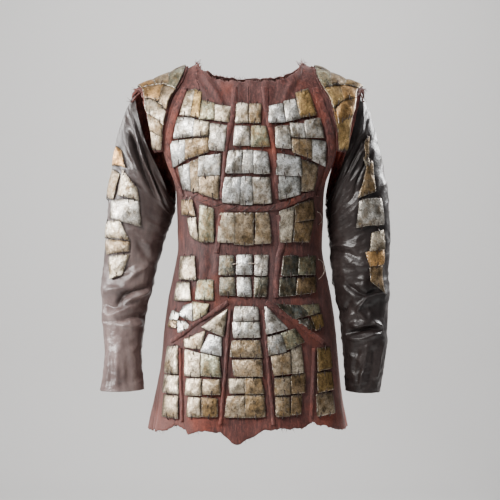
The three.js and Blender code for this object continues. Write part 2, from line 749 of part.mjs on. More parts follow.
const breastSide = [
  { xo: 114, zo: -50, xi: 38, zi: -88, bow: -8, n: 3 },
  { xo: 132, zo: -104, xi: 44, zi: -122, bow: -2, n: 3 },
  { xo: 146, zo: -151, xi: 48.5, zi: -147, n: 3 },
  { xo: 142, zo: -202, xi: 52.5, zi: -173, bow: 5, n: 2 },
  { xo: 135, zo: -220, xi: 57, zi: -222, n: 2 },
  { xo: 117, zo: -247, xi: 60.5, zi: -269, bow: 3 },
];
const breastCentre = [
  straight(23, -82, 2),
  straight(30, -124, 2),
  straight(41, -171, 3),
  straight(44.5, -222, 3),
  straight(48.5, -277, 0),
];
const ribSide = [
  { xo: 121, zo: -268, xi: 63, zi: -292, bow: 1, n: 2 },
  { xo: 127, zo: -352, xi: 70, zi: -354 },
];
const ribCentre = [straight(50, -298, 3), straight(54, -358, 0)];
const waistCentre = [
  { xo: -60, zo: -382, xi: 41, zi: -380, n: 3 },
  { xo: -60, zo: -421, xi: 41, zi: -420, n: 3 },
  { xo: -58, zo: -459, xi: 41, zi: -459 },
];
const waistLeft = [
  { xo: 132, zo: -381, xi: 63, zi: -381, n: 2 },
  { xo: 134, zo: -421, xi: 60, zi: -421, n: 2 },
  { xo: 136, zo: -460, xi: 58, zi: -460 },
];
const waistSide = [
  { xo: -132, zo: -383, xi: -104, zi: -383, n: 1 },
  { xo: -136, zo: -425, xi: -104, zi: -425 },
];
const waistRight = [
  { xo: -138, zo: -428, xi: -70, zi: -428, n: 2 },
  { xo: -143, zo: -470, xi: -69, zi: -470 },
];
const skirtCentre = [
  straight(22, -478, 1, skirtMiddle),
  straight(26, -508, 1, skirtMiddle),
  straight(30, -545, 1, skirtMiddle),
  straight(33, -582, 1, skirtMiddle),
  straight(35, -617, 2, skirtMiddle),
  straight(38, -650, 3, skirtMiddle),
  straight(43, -694, 0, skirtMiddle),
];
const fan = [
  { xo: 52, zo: -492, xi: 38, zi: -489, n: 1 },
  { xo: 92, zo: -518, xi: 43, zi: -538, n: 2 },
  { xo: 121, zo: -555, xi: 47, zi: -576, n: 2 },
  { xo: 121, zo: -613, xi: 51, zi: -616, n: 2 },
  { xo: 119, zo: -650, xi: 54, zi: -650, n: 2 },
  { xo: 117, zo: -694, xi: 58, zi: -694 },
];
const hip = [
  { xo: 148, zo: -480, xi: 82, zi: -478, n: 2 },
  { xo: 153, zo: -508, xi: 114, zi: -506, n: 2 },
  { xo: 155, zo: -538, xi: 140, zi: -528 },
];
const outerColumn = [
  { xo: 162, zo: -566, xi: 137, zi: -564, n: 1 },
  { xo: 164, zo: -614, xi: 136, zi: -614, n: 1 },
  { xo: 164, zo: -655, xi: 134, zi: -655, n: 1 },
  { xo: 166, zo: -700, xi: 132, zi: -700 },
];
const onTorso = (hand, middle) => (x, z) => [middle + hand * x, z];

plateField('plates_breast_centre', front, onTorso(1, 0), breastCentre, hideWall, paleMetal);
plateField('plates_rib_centre', front, onTorso(1, 0), ribCentre, hideWall, paleMetal);
plateField('plates_waist_centre', front, onTorso(1, 0), waistCentre, hideWall, greyMetal);
plateField('plates_waist_left', front, onTorso(1, 0), waistLeft, hideWall, greyMetal);
plateField('plates_waist_right', front, onTorso(1, 0), waistRight, hideWall, greyMetal);
plateField('plates_waist_side', front, onTorso(1, 0), waistSide, hideWall, greyMetal);
plateField('plates_skirt_centre', front, onTorso(1, 0), skirtCentre, hideWall, paleMetal);
for (const [handName, hand] of Object.entries(hands)) {
  const plain = onTorso(hand, 0);
  const skirted = onTorso(hand, skirtMiddle);
  plateField(`plates_breast_${handName}`, front, plain, breastSide, hideWall, paleMetal);
  plateField(`plates_rib_${handName}`, front, plain, ribSide, hideWall, paleMetal);
  plateField(`plates_fan_${handName}`, front, skirted, fan, hideWall, ochreMetal);
  plateField(`plates_hip_${handName}`, front, plain, hip, hideWall, ochreMetal);
  plateField(`plates_outer_${handName}`, front, skirted, outerColumn, hideWall, ochreMetal);
}

const backCentre = [
  straight(48, -54, 2),
  straight(51, -100, 2),
  straight(52, -150, 2),
  straight(52, -205, 2),
  straight(51, -265, 2),
  straight(47, -325, 2),
  straight(47, -385, 2),
  straight(49, -445, 2),
  straight(53, -510, 2),
  straight(58, -575, 2),
  straight(62, -640, 2),
  straight(65, -702, 0),
];
const backSide = [
  { xo: 112, zo: -50, xi: 70, zi: -54, n: 2 },
  { xo: 136, zo: -100, xi: 71, zi: -100, n: 3 },
  { xo: 148, zo: -150, xi: 71, zi: -150, n: 3 },
  { xo: 140, zo: -205, xi: 71, zi: -205, n: 3 },
  { xo: 122, zo: -265, xi: 69, zi: -265, n: 2 },
  { xo: 122, zo: -325, xi: 65, zi: -325, n: 2 },
  { xo: 124, zo: -385, xi: 65, zi: -385, n: 2 },
  { xo: 132, zo: -445, xi: 68, zi: -445, n: 3 },
  { xo: 142, zo: -510, xi: 73, zi: -510, n: 3 },
  { xo: 148, zo: -575, xi: 78, zi: -575, n: 3 },
  { xo: 152, zo: -640, xi: 82, zi: -640, n: 3 },
  { xo: 154, zo: -702, xi: 85, zi: -702 },
];
plateField('plates_back_centre', back, onTorso(1, 0), backCentre, hideWall, greyMetal);
for (const [handName, hand] of Object.entries(hands)) {
  plateField(`plates_back_${handName}`, back, onTorso(hand, 0), backSide, hideWall, greyMetal);
}

// Caps: x is the share across, z the share of the way from the front foot to the back foot
const capRows = [
  { xo: 0.93, zo: 0.02, xi: 0.08, zi: 0.02, n: 1 },
  { xo: 0.93, zo: 0.12, xi: 0.08, zi: 0.12, n: 2 },
  { xo: 0.94, zo: 0.24, xi: 0.06, zi: 0.24, n: 2 },
  { xo: 0.95, zo: 0.36, xi: 0.04, zi: 0.36, n: 3 },
  { xo: 0.96, zo: 0.5, xi: 0.04, zi: 0.5, n: 3 },
  { xo: 0.95, zo: 0.64, xi: 0.04, zi: 0.64, n: 2 },
  { xo: 0.94, zo: 0.76, xi: 0.06, zi: 0.76, n: 2 },
  { xo: 0.93, zo: 0.88, xi: 0.08, zi: 0.88, n: 1 },
  { xo: 0.93, zo: 0.98, xi: 0.08, zi: 0.98 },
];
for (const [handName, hand] of Object.entries(hands)) {
  const surface = capSurface(hand);
  const onCap = (a, b) => [a, b];
  plateField(`plates_cap_${handName}`, surface, onCap, capRows, capLift + capWall, ochreMetal);
}

// Sleeves: x is the turn in degrees, z the ring
const sleeveRows = {
  sleeve_right: [
    { xo: 18, zo: 4.6, xi: 48, zi: 3.9, n: 1 },
    { xo: 10, zo: 6.1, xi: 62, zi: 5.2, n: 2 },
    { xo: 8, zo: 7.6, xi: 62, zi: 6.9, n: 1 },
    { xo: 8, zo: 9.3, xi: 60, zi: 8.5, n: 1 },
    { xo: 10, zo: 10.2, xi: 60, zi: 9.7, n: 1 },
    { xo: 12, zo: 11.4, xi: 60, zi: 11.2 },
  ],
  sleeve_left: [
    { xo: 14, zo: 4.4, xi: 42, zi: 3.7, n: 1 },
    { xo: 10, zo: 6.0, xi: 56, zi: 5.0, n: 2 },
    { xo: 8, zo: 7.8, xi: 56, zi: 7.0, n: 1 },
    { xo: 8, zo: 9.3, xi: 54, zi: 8.6, n: 1 },
    { xo: 10, zo: 10.3, xi: 54, zi: 9.8, n: 1 },
    { xo: 12, zo: 11.9, xi: 54, zi: 11.6 },
  ],
};
for (const [name, rows] of Object.entries(sleeveRows)) {
  const surface = sleeveSurface(sleeves[name]);
  plateField(`plates_${name}`, surface, (turn, ring) => [turn, ring], rows, 0, greyMetal);
}

export default group;
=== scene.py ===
import math
import random

import bmesh
import bpy
import numpy as np
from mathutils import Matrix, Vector


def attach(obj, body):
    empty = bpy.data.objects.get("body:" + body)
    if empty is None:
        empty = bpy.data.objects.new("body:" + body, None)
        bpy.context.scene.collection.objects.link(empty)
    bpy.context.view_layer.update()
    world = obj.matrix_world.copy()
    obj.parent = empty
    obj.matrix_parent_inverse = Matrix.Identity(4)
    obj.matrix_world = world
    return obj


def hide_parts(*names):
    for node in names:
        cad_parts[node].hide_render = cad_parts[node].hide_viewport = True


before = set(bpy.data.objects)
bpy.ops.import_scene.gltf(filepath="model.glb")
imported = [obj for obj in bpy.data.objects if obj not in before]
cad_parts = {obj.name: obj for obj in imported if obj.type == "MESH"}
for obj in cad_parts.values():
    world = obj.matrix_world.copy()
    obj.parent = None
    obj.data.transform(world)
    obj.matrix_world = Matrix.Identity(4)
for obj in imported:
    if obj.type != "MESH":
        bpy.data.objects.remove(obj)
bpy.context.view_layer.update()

mm = 0.001

# camera, floor and light
view = {
    "distance": 2.42,      # from the shoulders, metres
    "height": -0.369,
    "lens": 85,
    "floor": -1.45,
    "backdrop": 3.4,       # where the floor turns up behind the armour
    "backdropBend": 0.6,
    "backdropNear": -4.5,
    "backdropHigh": 4.0,
    "backdropHalf": 5,
    "backdropColour": (0.74, 0.73, 0.72, 1),
    "air": (0.86, 0.88, 0.92, 1),
    "airStrength": 0.1,
}
lamps = {  # place, aim, size, power, colour
    "keyLight": ((-1.3, -1.9, 1.1), (0, 0, -0.3), 0.6, 94, (1.0, 0.985, 0.96)),
    "sideLight": ((-2.1, -0.5, 0.05), (-0.2, 0, -0.4), 0.5, 74, (1.0, 0.985, 0.975)),
    "fillLight": ((1.9, -2.4, 0.2), (0, 0, -0.4), 1.4, 4, (0.95, 0.97, 1.0)),
    "rimLight": ((1.5, 0.9, 0.5), (0.2, 0, -0.3), 0.6, 60, (1, 1, 1)),
    "leftRimLight": ((-1.6, 0.9, 0.3), (-0.2, 0, -0.35), 0.7, 20, (1, 0.98, 0.97)),
    "topLight": ((0, -0.6, 1.5), (0, 0, -0.2), 0.8, 14, (1, 1, 1)),
    "paperLight": ((0, 1.3, 1.7), (0, 3.2, -0.5), 1.6, 60, (1, 1, 1)),
}


def setUpView():
    scene = bpy.context.scene
    camera = bpy.data.cameras.new("photoCamera")
    camera.lens = view["lens"]
    camera.sensor_width = 36
    eye = bpy.data.objects.new("photoCamera", camera)
    eye.location = (0, -view["distance"], view["height"])
    eye.rotation_euler = (math.pi / 2, 0, 0)
    scene.collection.objects.link(eye)
    scene.camera = eye
    for name, (place, aim, size, power, colour) in lamps.items():
        lamp = bpy.data.lights.new(name, "AREA")
        lamp.size = size
        lamp.energy = power
        lamp.color = colour
        holder = bpy.data.objects.new(name, lamp)
        holder.location = place
        holder.rotation_euler = (Vector(aim) - Vector(place)).to_track_quat("-Z", "Y").to_euler()
        scene.collection.objects.link(holder)
    world = bpy.data.worlds.new("studio")
    world.use_nodes = True
    background = world.node_tree.nodes["Background"]
    background.inputs["Color"].default_value = view["air"]
    background.inputs["Strength"].default_value = view["airStrength"]
    scene.world = world


def makeBackdrop():
    bend = view["backdropBend"]
    half = view["backdropHalf"]
    start = view["backdrop"] - bend
    profile = [(view["backdropNear"], 0), (start, 0)]
    steps = 12
    for step in range(1, steps + 1):
        turn = math.pi / 2 * step / steps
        profile.append((start + bend * math.sin(turn), bend - bend * math.cos(turn)))
    profile.append((view["backdrop"], view["backdropHigh"]))
    vertices, faces = [], []
    for y, z in profile:
        vertices += [(-half, y, view["floor"] + z), (half, y, view["floor"] + z)]
    for i in range(len(profile) - 1):
        faces.append((2 * i, 2 * i + 1, 2 * i + 3, 2 * i + 2))
    mesh = bpy.data.meshes.new("backdrop")
    mesh.from_pydata(vertices, [], faces)
    mesh.polygons.foreach_set("use_smooth", [True] * len(faces))
    paper = bpy.data.materials.new("backdropPaper")
    paper.use_nodes = True
    shader = paper.node_tree.nodes["Principled BSDF"]
    shader.inputs["Base Color"].default_value = view["backdropColour"]
    shader.inputs["Roughness"].default_value = 0.9
    mesh.materials.append(paper)
    floor = bpy.data.objects.new("backdrop", mesh)
    bpy.context.scene.collection.objects.link(floor)


setUpView()
makeBackdrop()
print("view, floor and light are up")

# the body form, in millimetres, the same as the solids
bodyForm = {
    "roundness": 2.3,        # squareness of the body sections
    "columnPower": 0.84,     # spreads the panel columns round a section
    "zRound": -190.0,        # panels start to round over to the shoulders
    "zArm": -250.0,          # foot of the armholes
    "neckColumn": 1 / 3,
    "neckTop": 10.0,
    "shoulderSlope": 0.43,
    "neckSlope": 0.3,
    "shoulderEdge": 190.0,
    "neckLow": {-1: -36.0, 1: -8.0},
    "neckPower": {-1: 5.0, 1: 4.0},
    "skirtMiddle": -6.0,     # the skirt hangs this far off centre
    "hemLevel": -730.0,      # the panel columns are set out at this height
    "hideWall": 2.2,
    "capWall": 2.0,
    "capLift": 3.9,
    "sleeveWall": 2.0,
}
sections = [  # z, half width, front depth, back depth
    (-765, 201, 150, 148), (-676, 189, 141, 140), (-600, 180, 133, 134), (-533, 173, 126, 128),
    (-471, 165, 118, 116), (-410, 153, 108, 104), (-365, 145, 104, 98), (-300, 147, 112, 104),
    (-250, 149, 121, 111), (-235, 157, 122, 111), (-207, 173, 123, 112), (-184, 192, 123, 112),
    (-160, 214, 123, 112), (-120, 248, 122, 112), (-60, 262, 122, 112), (0, 268, 122, 112),
]
armholeEdge = [  # z, half width
    (-250, 149), (-235, 150), (-207, 160), (-184, 168), (-160, 171), (-130, 171), (-100, 172), (-72, 177),
    (-28, 190),
]
hemLine = {  # x, z, in front (-1) and behind (1)
    -1: [
        (-200, -736), (-172, -728), (-145, -714), (-124, -716), (-119, -726), (-85, -718), (-62, -720),
        (-25, -741), (6, -730), (28, -716), (98, -714), (124, -706), (148, -714), (173, -722), (200, -730),
    ],
    1: [
        (-200, -740), (-150, -742), (-90, -730), (-30, -738), (40, -728), (100, -736), (150, -730),
        (200, -732),
    ],
}
hemFolds = [  # turn round the body in degrees from the front, width, out
    (-66, 12, 5), (-84, 11, -12), (-104, 16, 19), (68, 12, 3), (86, 11, -6), (106, 14, 9), (-34, 14, 3),
    (-10, 12, -3), (14, 12, 3), (40, 13, -3), (132, 14, -6), (156, 13, 7), (180, 12, -6), (-154, 14, 7),
    (-128, 12, -6),
]
foldTop, foldFoot = -540.0, -750.0


def curveThrough(rows, column=1):
    # a smooth curve through the rows that never overshoots them
    rows = sorted(rows, key=lambda row: row[0])
    xs = np.array([row[0] for row in rows], float)
    ys = np.array([row[column] for row in rows], float)
    slopes = np.diff(ys) / np.diff(xs)
    tangents = np.empty(len(xs))
    tangents[0], tangents[-1] = slopes[0], slopes[-1]
    for i in range(1, len(xs) - 1):
        a, b = slopes[i - 1], slopes[i]
        tangents[i] = 0.0 if a * b <= 0 else 2 * a * b / (a + b)

    def at(x):
        x = np.clip(np.asarray(x, float), xs[0], xs[-1])
        i = np.clip(np.searchsorted(xs, x, side="left") - 1, 0, len(xs) - 2)
        h = xs[i + 1] - xs[i]
        t = (x - xs[i]) / h
        bend = t * t * (3 - 2 * t)
        lead = t * (1 - t) ** 2 * h * tangents[i]
        trail = t * t * (t - 1) * h * tangents[i + 1]
        return ys[i] * (1 - bend) + ys[i + 1] * bend + lead + trail
    return at


reachAt, frontAt, backAt = (curveThrough(sections, column) for column in (1, 2, 3))
armholeAt = curveThrough(armholeEdge)
hemAt = {side: curveThrough(rows) for side, rows in hemLine.items()}
neckShare = math.sin(bodyForm["neckColumn"] * math.pi / 2) ** bodyForm["columnPower"]
neckHalf = bodyForm["shoulderEdge"] * neckShare


def ridgeAt(x):
    past = np.abs(x) - neckHalf
    return bodyForm["neckTop"] - np.where(past > 0, bodyForm["shoulderSlope"], bodyForm["neckSlope"]) * past


def edgeAt(z):
    z = np.asarray(z, float)
    return np.where(z > bodyForm["zArm"], armholeAt(z), reachAt(z))


def neckEdge(side, x):
    low = bodyForm["neckLow"][side]
    share = np.minimum(1, np.abs(x) / neckHalf)
    return low + (bodyForm["neckTop"] - low) * share ** bodyForm["neckPower"][side]


def foldAt(turn, z):
    t = np.clip((foldTop - z) / (foldTop - foldFoot), 0, 1)
    opening = t * t * (3 - 2 * t)
    total = 0.0
    for foldTurn, width, out in hemFolds:
        away = (turn - foldTurn + 180) % 360 - 180
        total = total + opening * out * np.exp(-(away / width) ** 2)
    return total


def torsoPoint(side, x, z, lie):
    # lie is 1 on the body and falls to 0 where the hide rounds over the shoulder
    x, z, lie = np.broadcast_arrays(np.asarray(x, float), np.asarray(z, float), np.asarray(lie, float))
    reach = reachAt(z)
    share = np.minimum(1, np.abs(x) / reach)
    across = np.maximum(0, 1 - share ** bodyForm["roundness"]) ** (1 / bodyForm["roundness"])
    depth = frontAt(z) if side < 0 else backAt(z)
    y = side * depth * across * lie
    angle = np.degrees(np.arcsin(share)) * np.sign(x)
    turn = angle if side < 0 else 180 - angle
    ox, oy = x / reach ** 2, y / depth ** 2
    length = np.maximum(np.hypot(ox, oy), 1e-12)
    fold = foldAt(turn, z)
    return np.stack([x + ox / length * fold, y + oy / length * fold, z], axis=-1)


def lieAt(x, z):
    climb = np.clip((z - bodyForm["zRound"]) / (ridgeAt(x) - bodyForm["zRound"]), 0, 1)
    return np.sqrt(1 - climb * climb)


def torsoSurface(side):
    def hub(x, z):
        return np.stack([0 * x, 0 * x, np.minimum(z, bodyForm["zRound"])], axis=-1)
    return {"at": lambda x, z: torsoPoint(side, x, z, lieAt(x, z)), "hub": hub, "step": 0.5}


def lifted(surface, u, v, height):
    # the place on a surface, moved out along its normal by height
    u, v = np.broadcast_arrays(np.asarray(u, float), np.asarray(v, float))
    step = surface["step"]
    point = surface["at"](u, v)
    along = surface["at"](u + step, v) - surface["at"](u - step, v)
    up = surface["at"](u, v + step) - surface["at"](u, v - step)
    normal = np.cross(along, up)
    normal /= np.maximum(np.linalg.norm(normal, axis=-1, keepdims=True), 1e-12)
    outward = point - surface["hub"](u, v)
    flip = np.where((normal * outward).sum(-1) < 0, -1.0, 1.0)[..., None]
    return point + normal * flip * np.asarray(height, float)[..., None]


capEdges = [  # climb, neck side, arm side
    (0.11, 170, 186), (0.14, 169.5, 189), (0.31, 168, 193), (0.51, 162, 200.5), (0.65, 154, 207.5),
    (0.78, 138, 212), (0.88, 128, 217), (0.97, 125, 228), (1, 124, 234),
]
capFoot = math.asin(capEdges[0][0])
capInnerAt, capOuterAt = curveThrough(capEdges, 1), curveThrough(capEdges, 2)


def capSurface(hand):
    def at(a, b):
        angle = capFoot + (math.pi - 2 * capFoot) * b
        climb = np.minimum(1, np.sin(angle))
        x = capInnerAt(climb) + (capOuterAt(climb) - capInnerAt(climb)) * a
        z = bodyForm["zRound"] + (ridgeAt(x) - bodyForm["zRound"]) * np.sin(angle)
        lie = np.cos(angle)
        front = torsoPoint(-1, hand * x, z, np.abs(lie))
        back = torsoPoint(1, hand * x, z, np.abs(lie))
        return np.where((lie > 0)[..., None], front, back)

    def hub(a, b):
        return np.stack([hand * 100 + 0 * a, 0 * a, bodyForm["zRound"] + 0 * a], axis=-1)
    return {"at": at, "hub": hub, "step": 0.004}


# rings down a sleeve: x and z of its outer side and of its inner side, half depth, how far back, lean
# folds: ring, turn round the sleeve in degrees from its outer side, how tall, how wide, how far out
sleeves = {
    "sleeve_right": {
        "hand": -1,
        "rings": [
            (231, -42, 156, -264, 52, 0, 15), (243, -64, 155, -270, 54, 0, 13),
            (254, -90, 154, -276, 56, 0, 11), (265, -118, 154, -283, 57, 1, 8),
            (275, -152, 155, -291, 58, 2, 5), (281, -192, 158, -301, 59, 3, 3),
            (285, -232, 162, -314, 60, 4, 1), (289, -270, 168, -330, 60, 5, 0),
            (293, -307, 175, -350, 58, 5, 0), (296, -343, 182, -373, 56, 4, 0),
            (299, -378, 189, -398, 55, 2, 0), (301, -412, 195, -425, 53, -2, 0),
            (302, -446, 200, -452, 51, -7, 0), (302, -480, 205, -480, 49, -12, 0),
            (298, -512, 210, -509, 47, -18, 0), (296, -544, 216, -540, 45, -23, 0),
            (293, -574, 220, -571, 43, -28, 0), (295, -604, 219, -603, 42, -31, 0),
            (299, -630, 216, -630, 42, -33, 0), (303, -652, 213, -650, 43, -35, 0),
        ],
        "folds": [
            (5.2, 70, 0.8, 50, -5), (6.6, 35, 0.7, 45, 4), (12.2, 60, 0.6, 70, 5), (13.1, 70, 0.5, 70, -6),
            (14.0, 60, 0.6, 70, 5), (13.4, 180, 0.6, 60, -5), (16.4, 80, 0.7, 60, 3),
        ],
    },
    "sleeve_left": {
        "hand": 1,
        "rings": [
            (225, -39.2, 157, -266, 52.8, 0, 8), (236, -66, 156, -272, 54.8, 0, 7),
            (245, -92, 156, -279, 56, 0, 6), (254, -120, 156, -287, 57, 1, 4),
            (263, -154, 157, -297, 58, 2, 3), (272, -192, 158, -310, 59, 3, 2),
            (279, -232, 159, -325, 60, 4, 1), (284, -272, 161, -343, 60, 5, 0),
            (287, -312, 163, -364, 58, 4, 0), (288, -350, 165, -388, 56, 1, 0),
            (286, -386, 167, -413, 55, -3, 0), (284, -421, 170, -440, 53, -8, 0),
            (282, -455, 174, -468, 51, -13, 0), (280, -489, 178, -497, 49, -18, 0),
            (279, -522, 182, -526, 47, -23, 0), (277, -554, 186, -556, 45, -28, 0),
            (273, -584, 189, -585, 43, -32, 0), (269, -611, 191, -612, 42, -35, 0),
            (265, -634, 192, -634, 42, -37, 0), (262, -654, 192, -652, 43, -38, 0),
        ],
        "folds": [
            (4.8, 60, 0.7, 40, -4), (6.4, 40, 0.7, 45, 4), (11.2, 60, 0.6, 60, -5), (12.2, 50, 0.6, 65, 5),
            (13.4, 65, 0.5, 65, -5), (13.0, 180, 0.6, 60, -4), (15.4, 70, 0.7, 60, 3),
        ],
    },
}


def sleeveSurface(sleeve):
    rings = np.array(sleeve["rings"], float)
    hand = sleeve["hand"]
    last = len(rings) - 1

    def ends(i):
        row = rings[i]
        outer = np.stack([hand * row[..., 0], row[..., 5], row[..., 1]], axis=-1)
        inner = np.stack([hand * row[..., 2], row[..., 5], row[..., 3]], axis=-1)
        return outer, inner

    def onRing(i, turn):
        row = rings[i]
        swell = 0.0
        for ring, foldTurn, tall, wide, out in sleeve["folds"]:
            away = (turn - foldTurn + 180) % 360 - 180
            swell = swell + out * np.exp(-(away / wide) ** 2 - ((i - ring) / tall) ** 2)
        outer, inner = ends(i)
        middle = (outer + inner) / 2
        arm = outer - middle
        reach = np.linalg.norm(arm, axis=-1)
        angle = np.radians(turn)
        point = middle + arm * (np.cos(angle) * (1 + swell / reach))[..., None]
        point[..., 1] -= (row[..., 4] + swell) * np.sin(angle)
        point[..., 0] += hand * row[..., 6] * np.sin(angle)
        return point

    def between(ring, pick):
        place = np.clip(ring, 0, last)
        i = np.minimum(last - 1, np.floor(place)).astype(int)
        share = (place - i)[..., None]
        return pick(i) * (1 - share) + pick(i + 1) * share

    def middle(i):
        outer, inner = ends(i)
        return (outer + inner) / 2
    return {
        "at": lambda turn, ring: between(ring, lambda i: onRing(i, turn)),
        "hub": lambda turn, ring: between(ring + 0 * turn, middle),
        "step": 0.02,
    }


# mesh helpers
stir = {"x": 374761393, "y": 668265263, "z": 2147483647, "seed": 974711, "mix": 1274126177}


def hashGrid(cells, seed):
    # a fixed value from -1 to 1 for each corner of the grid
    cells = cells.astype(np.int64)
    value = cells[..., 0] * stir["x"] + cells[..., 1] * stir["y"] + cells[..., 2] * stir["z"]
    value = value + seed * stir["seed"]
    value = (value ^ (value >> 13)) * stir["mix"]
    value = value ^ (value >> 16)
    return (value & 0xFFFF) / 32767.5 - 1.0


def lumps(points, size, seed):
    # smooth noise from -1 to 1; size is one lump, in the units of the points
    place = np.asarray(points, float) / size
    cell = np.floor(place)
    share = place - cell
    share = share * share * (3 - 2 * share)
    total = 0.0
    for corner in range(8):
        step = np.array([corner & 1, corner >> 1 & 1, corner >> 2 & 1])
        weight = np.prod(np.where(step, share, 1 - share), axis=-1)
        total = total + weight * hashGrid(cell + step, seed)
    return total


def flatPlaces(u, v):
    u, v = np.broadcast_arrays(np.asarray(u, float), np.asarray(v, float))
    return np.stack([u, v, 0 * u], axis=-1)


def makePiece(name, points, faces, materials, indices=None, shell=True):
    mesh = bpy.data.meshes.new(name)
    mesh.from_pydata((np.asarray(points, float) * mm).tolist(), [], faces)
    for material in materials:
        mesh.materials.append(material)
    if indices is not None:
        mesh.polygons.foreach_set("material_index", indices)
    mesh.polygons.foreach_set("use_smooth", [True] * len(faces))
    mesh.validate()
    if shell:
        form = bmesh.new()
        form.from_mesh(mesh)
        if form.calc_volume(signed=True) < 0:
            mesh.flip_normals()
        form.free()
    piece = bpy.data.objects.new(name, mesh)
    bpy.context.scene.collection.objects.link(piece)
    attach(piece, "root")
    return piece


def gridFaces(rows, columns, start=0, closed=False):
    faces = []
    wide = columns if closed else columns - 1
    for i in range(rows - 1):
        for j in range(wide):
            a = start + i * columns + j
            b = start + i * columns + (j + 1) % columns
            faces.append((a, b, b + columns, a + columns))
    return faces


def shellOf(outer, inner, closed=False):
    # a wall from two grids of points, its edges closed; the last list is 1 on the lining
    rows, columns = outer.shape[:2]
    points = np.concatenate([outer.reshape(-1, 3), inner.reshape(-1, 3)])
    half = rows * columns
    faces = gridFaces(rows, columns, 0, closed)
    outside = len(faces)
    faces += [tuple(reversed(face)) for face in gridFaces(rows, columns, half, closed)]
    lining = len(faces) - outside
    wide = columns if closed else columns - 1
    rim = []
    for j in range(wide):
        k = (j + 1) % columns
        rim.append((k, j, half + j, half + k))
        low = (rows - 1) * columns
        rim.append((low + j, low + k, half + low + k, half + low + j))
    if not closed:
        for i in range(rows - 1):
            a, b = i * columns, (i + 1) * columns
            rim.append((a, b, half + b, half + a))
            a, b = a + columns - 1, b + columns - 1
            rim.append((b, a, half + a, half + b))
    return points, faces + rim, [0] * outside + [1] * lining + [0] * len(rim)


# finishes
def newFinish(name):
    material = bpy.data.materials.new(name)
    material.use_nodes = True
    nodes, links = material.node_tree.nodes, material.node_tree.links
    return material, nodes, links, nodes["Principled BSDF"]


def grain(nodes, links, scale, stretch, detail, roughness):
    place = nodes.new("ShaderNodeTexCoord")
    bend = nodes.new("ShaderNodeMapping")
    bend.inputs["Scale"].default_value = stretch
    noise = nodes.new("ShaderNodeTexNoise")
    noise.inputs["Scale"].default_value = scale
    noise.inputs["Detail"].default_value = detail
    noise.inputs["Roughness"].default_value = roughness
    links.new(place.outputs["Object"], bend.inputs["Vector"])
    links.new(bend.outputs["Vector"], noise.inputs["Vector"])
    return noise.outputs["Fac"]


def ramp(nodes, links, source, stops):
    node = nodes.new("ShaderNodeValToRGB")
    line = node.color_ramp
    while len(line.elements) < len(stops):
        line.elements.new(0.5)
    for element, (place, colour) in zip(line.elements, stops):
        element.position = place
        element.color = (*colour, 1)
    links.new(source, node.inputs["Fac"])
    return node.outputs["Color"]


def blendOf(nodes, links, kind, first, second, share):
    node = nodes.new("ShaderNodeMix")
    node.data_type = "RGBA"
    node.blend_type = kind
    # 0 is the share; 6 and 7 are the two colours
    for socket, value in ((node.inputs[6], first), (node.inputs[7], second), (node.inputs[0], share)):
        if isinstance(value, bpy.types.NodeSocket):
            links.new(value, socket)
        elif isinstance(value, tuple):
            socket.default_value = (*value, 1)
        else:
            socket.default_value = value
    return node.outputs[2]


def sums(nodes, links, kind, first, second):
    node = nodes.new("ShaderNodeMath")
    node.operation = kind
    for socket, value in zip(node.inputs, (first, second)):
        if isinstance(value, bpy.types.NodeSocket):
            links.new(value, socket)
        else:
            socket.default_value = value
    return node.outputs[0]


def grey(level):
    return (level, level, level)


def scaledColour(colour, lightness):
    return tuple(min(1, part * lightness) for part in colour)


def relief(nodes, links, shader, layers):
    # layers: height source, strength, depth in mm
    last = None
    for source, strength, depth in layers:
        bump = nodes.new("ShaderNodeBump")
        bump.inputs["Strength"].default_value = strength
        bump.inputs["Distance"].default_value = depth * mm
        links.new(source, bump.inputs["Height"])
        if last is not None:
            links.new(last, bump.inputs["Normal"])
        last = bump.outputs["Normal"]
    links.new(last, shader.inputs["Normal"])


hideLook = {
    "dark": (0.011, 0.0037, 0.0033),
    "middle": (0.053, 0.0163, 0.0138),
    "light": (0.16, 0.06, 0.05),
    "rust": (0.175, 0.043, 0.023),
    "mauve": (0.12, 0.066, 0.063),
    "sheen": 0.22,
    "length": 0.75,          # neck to hem, metres
}


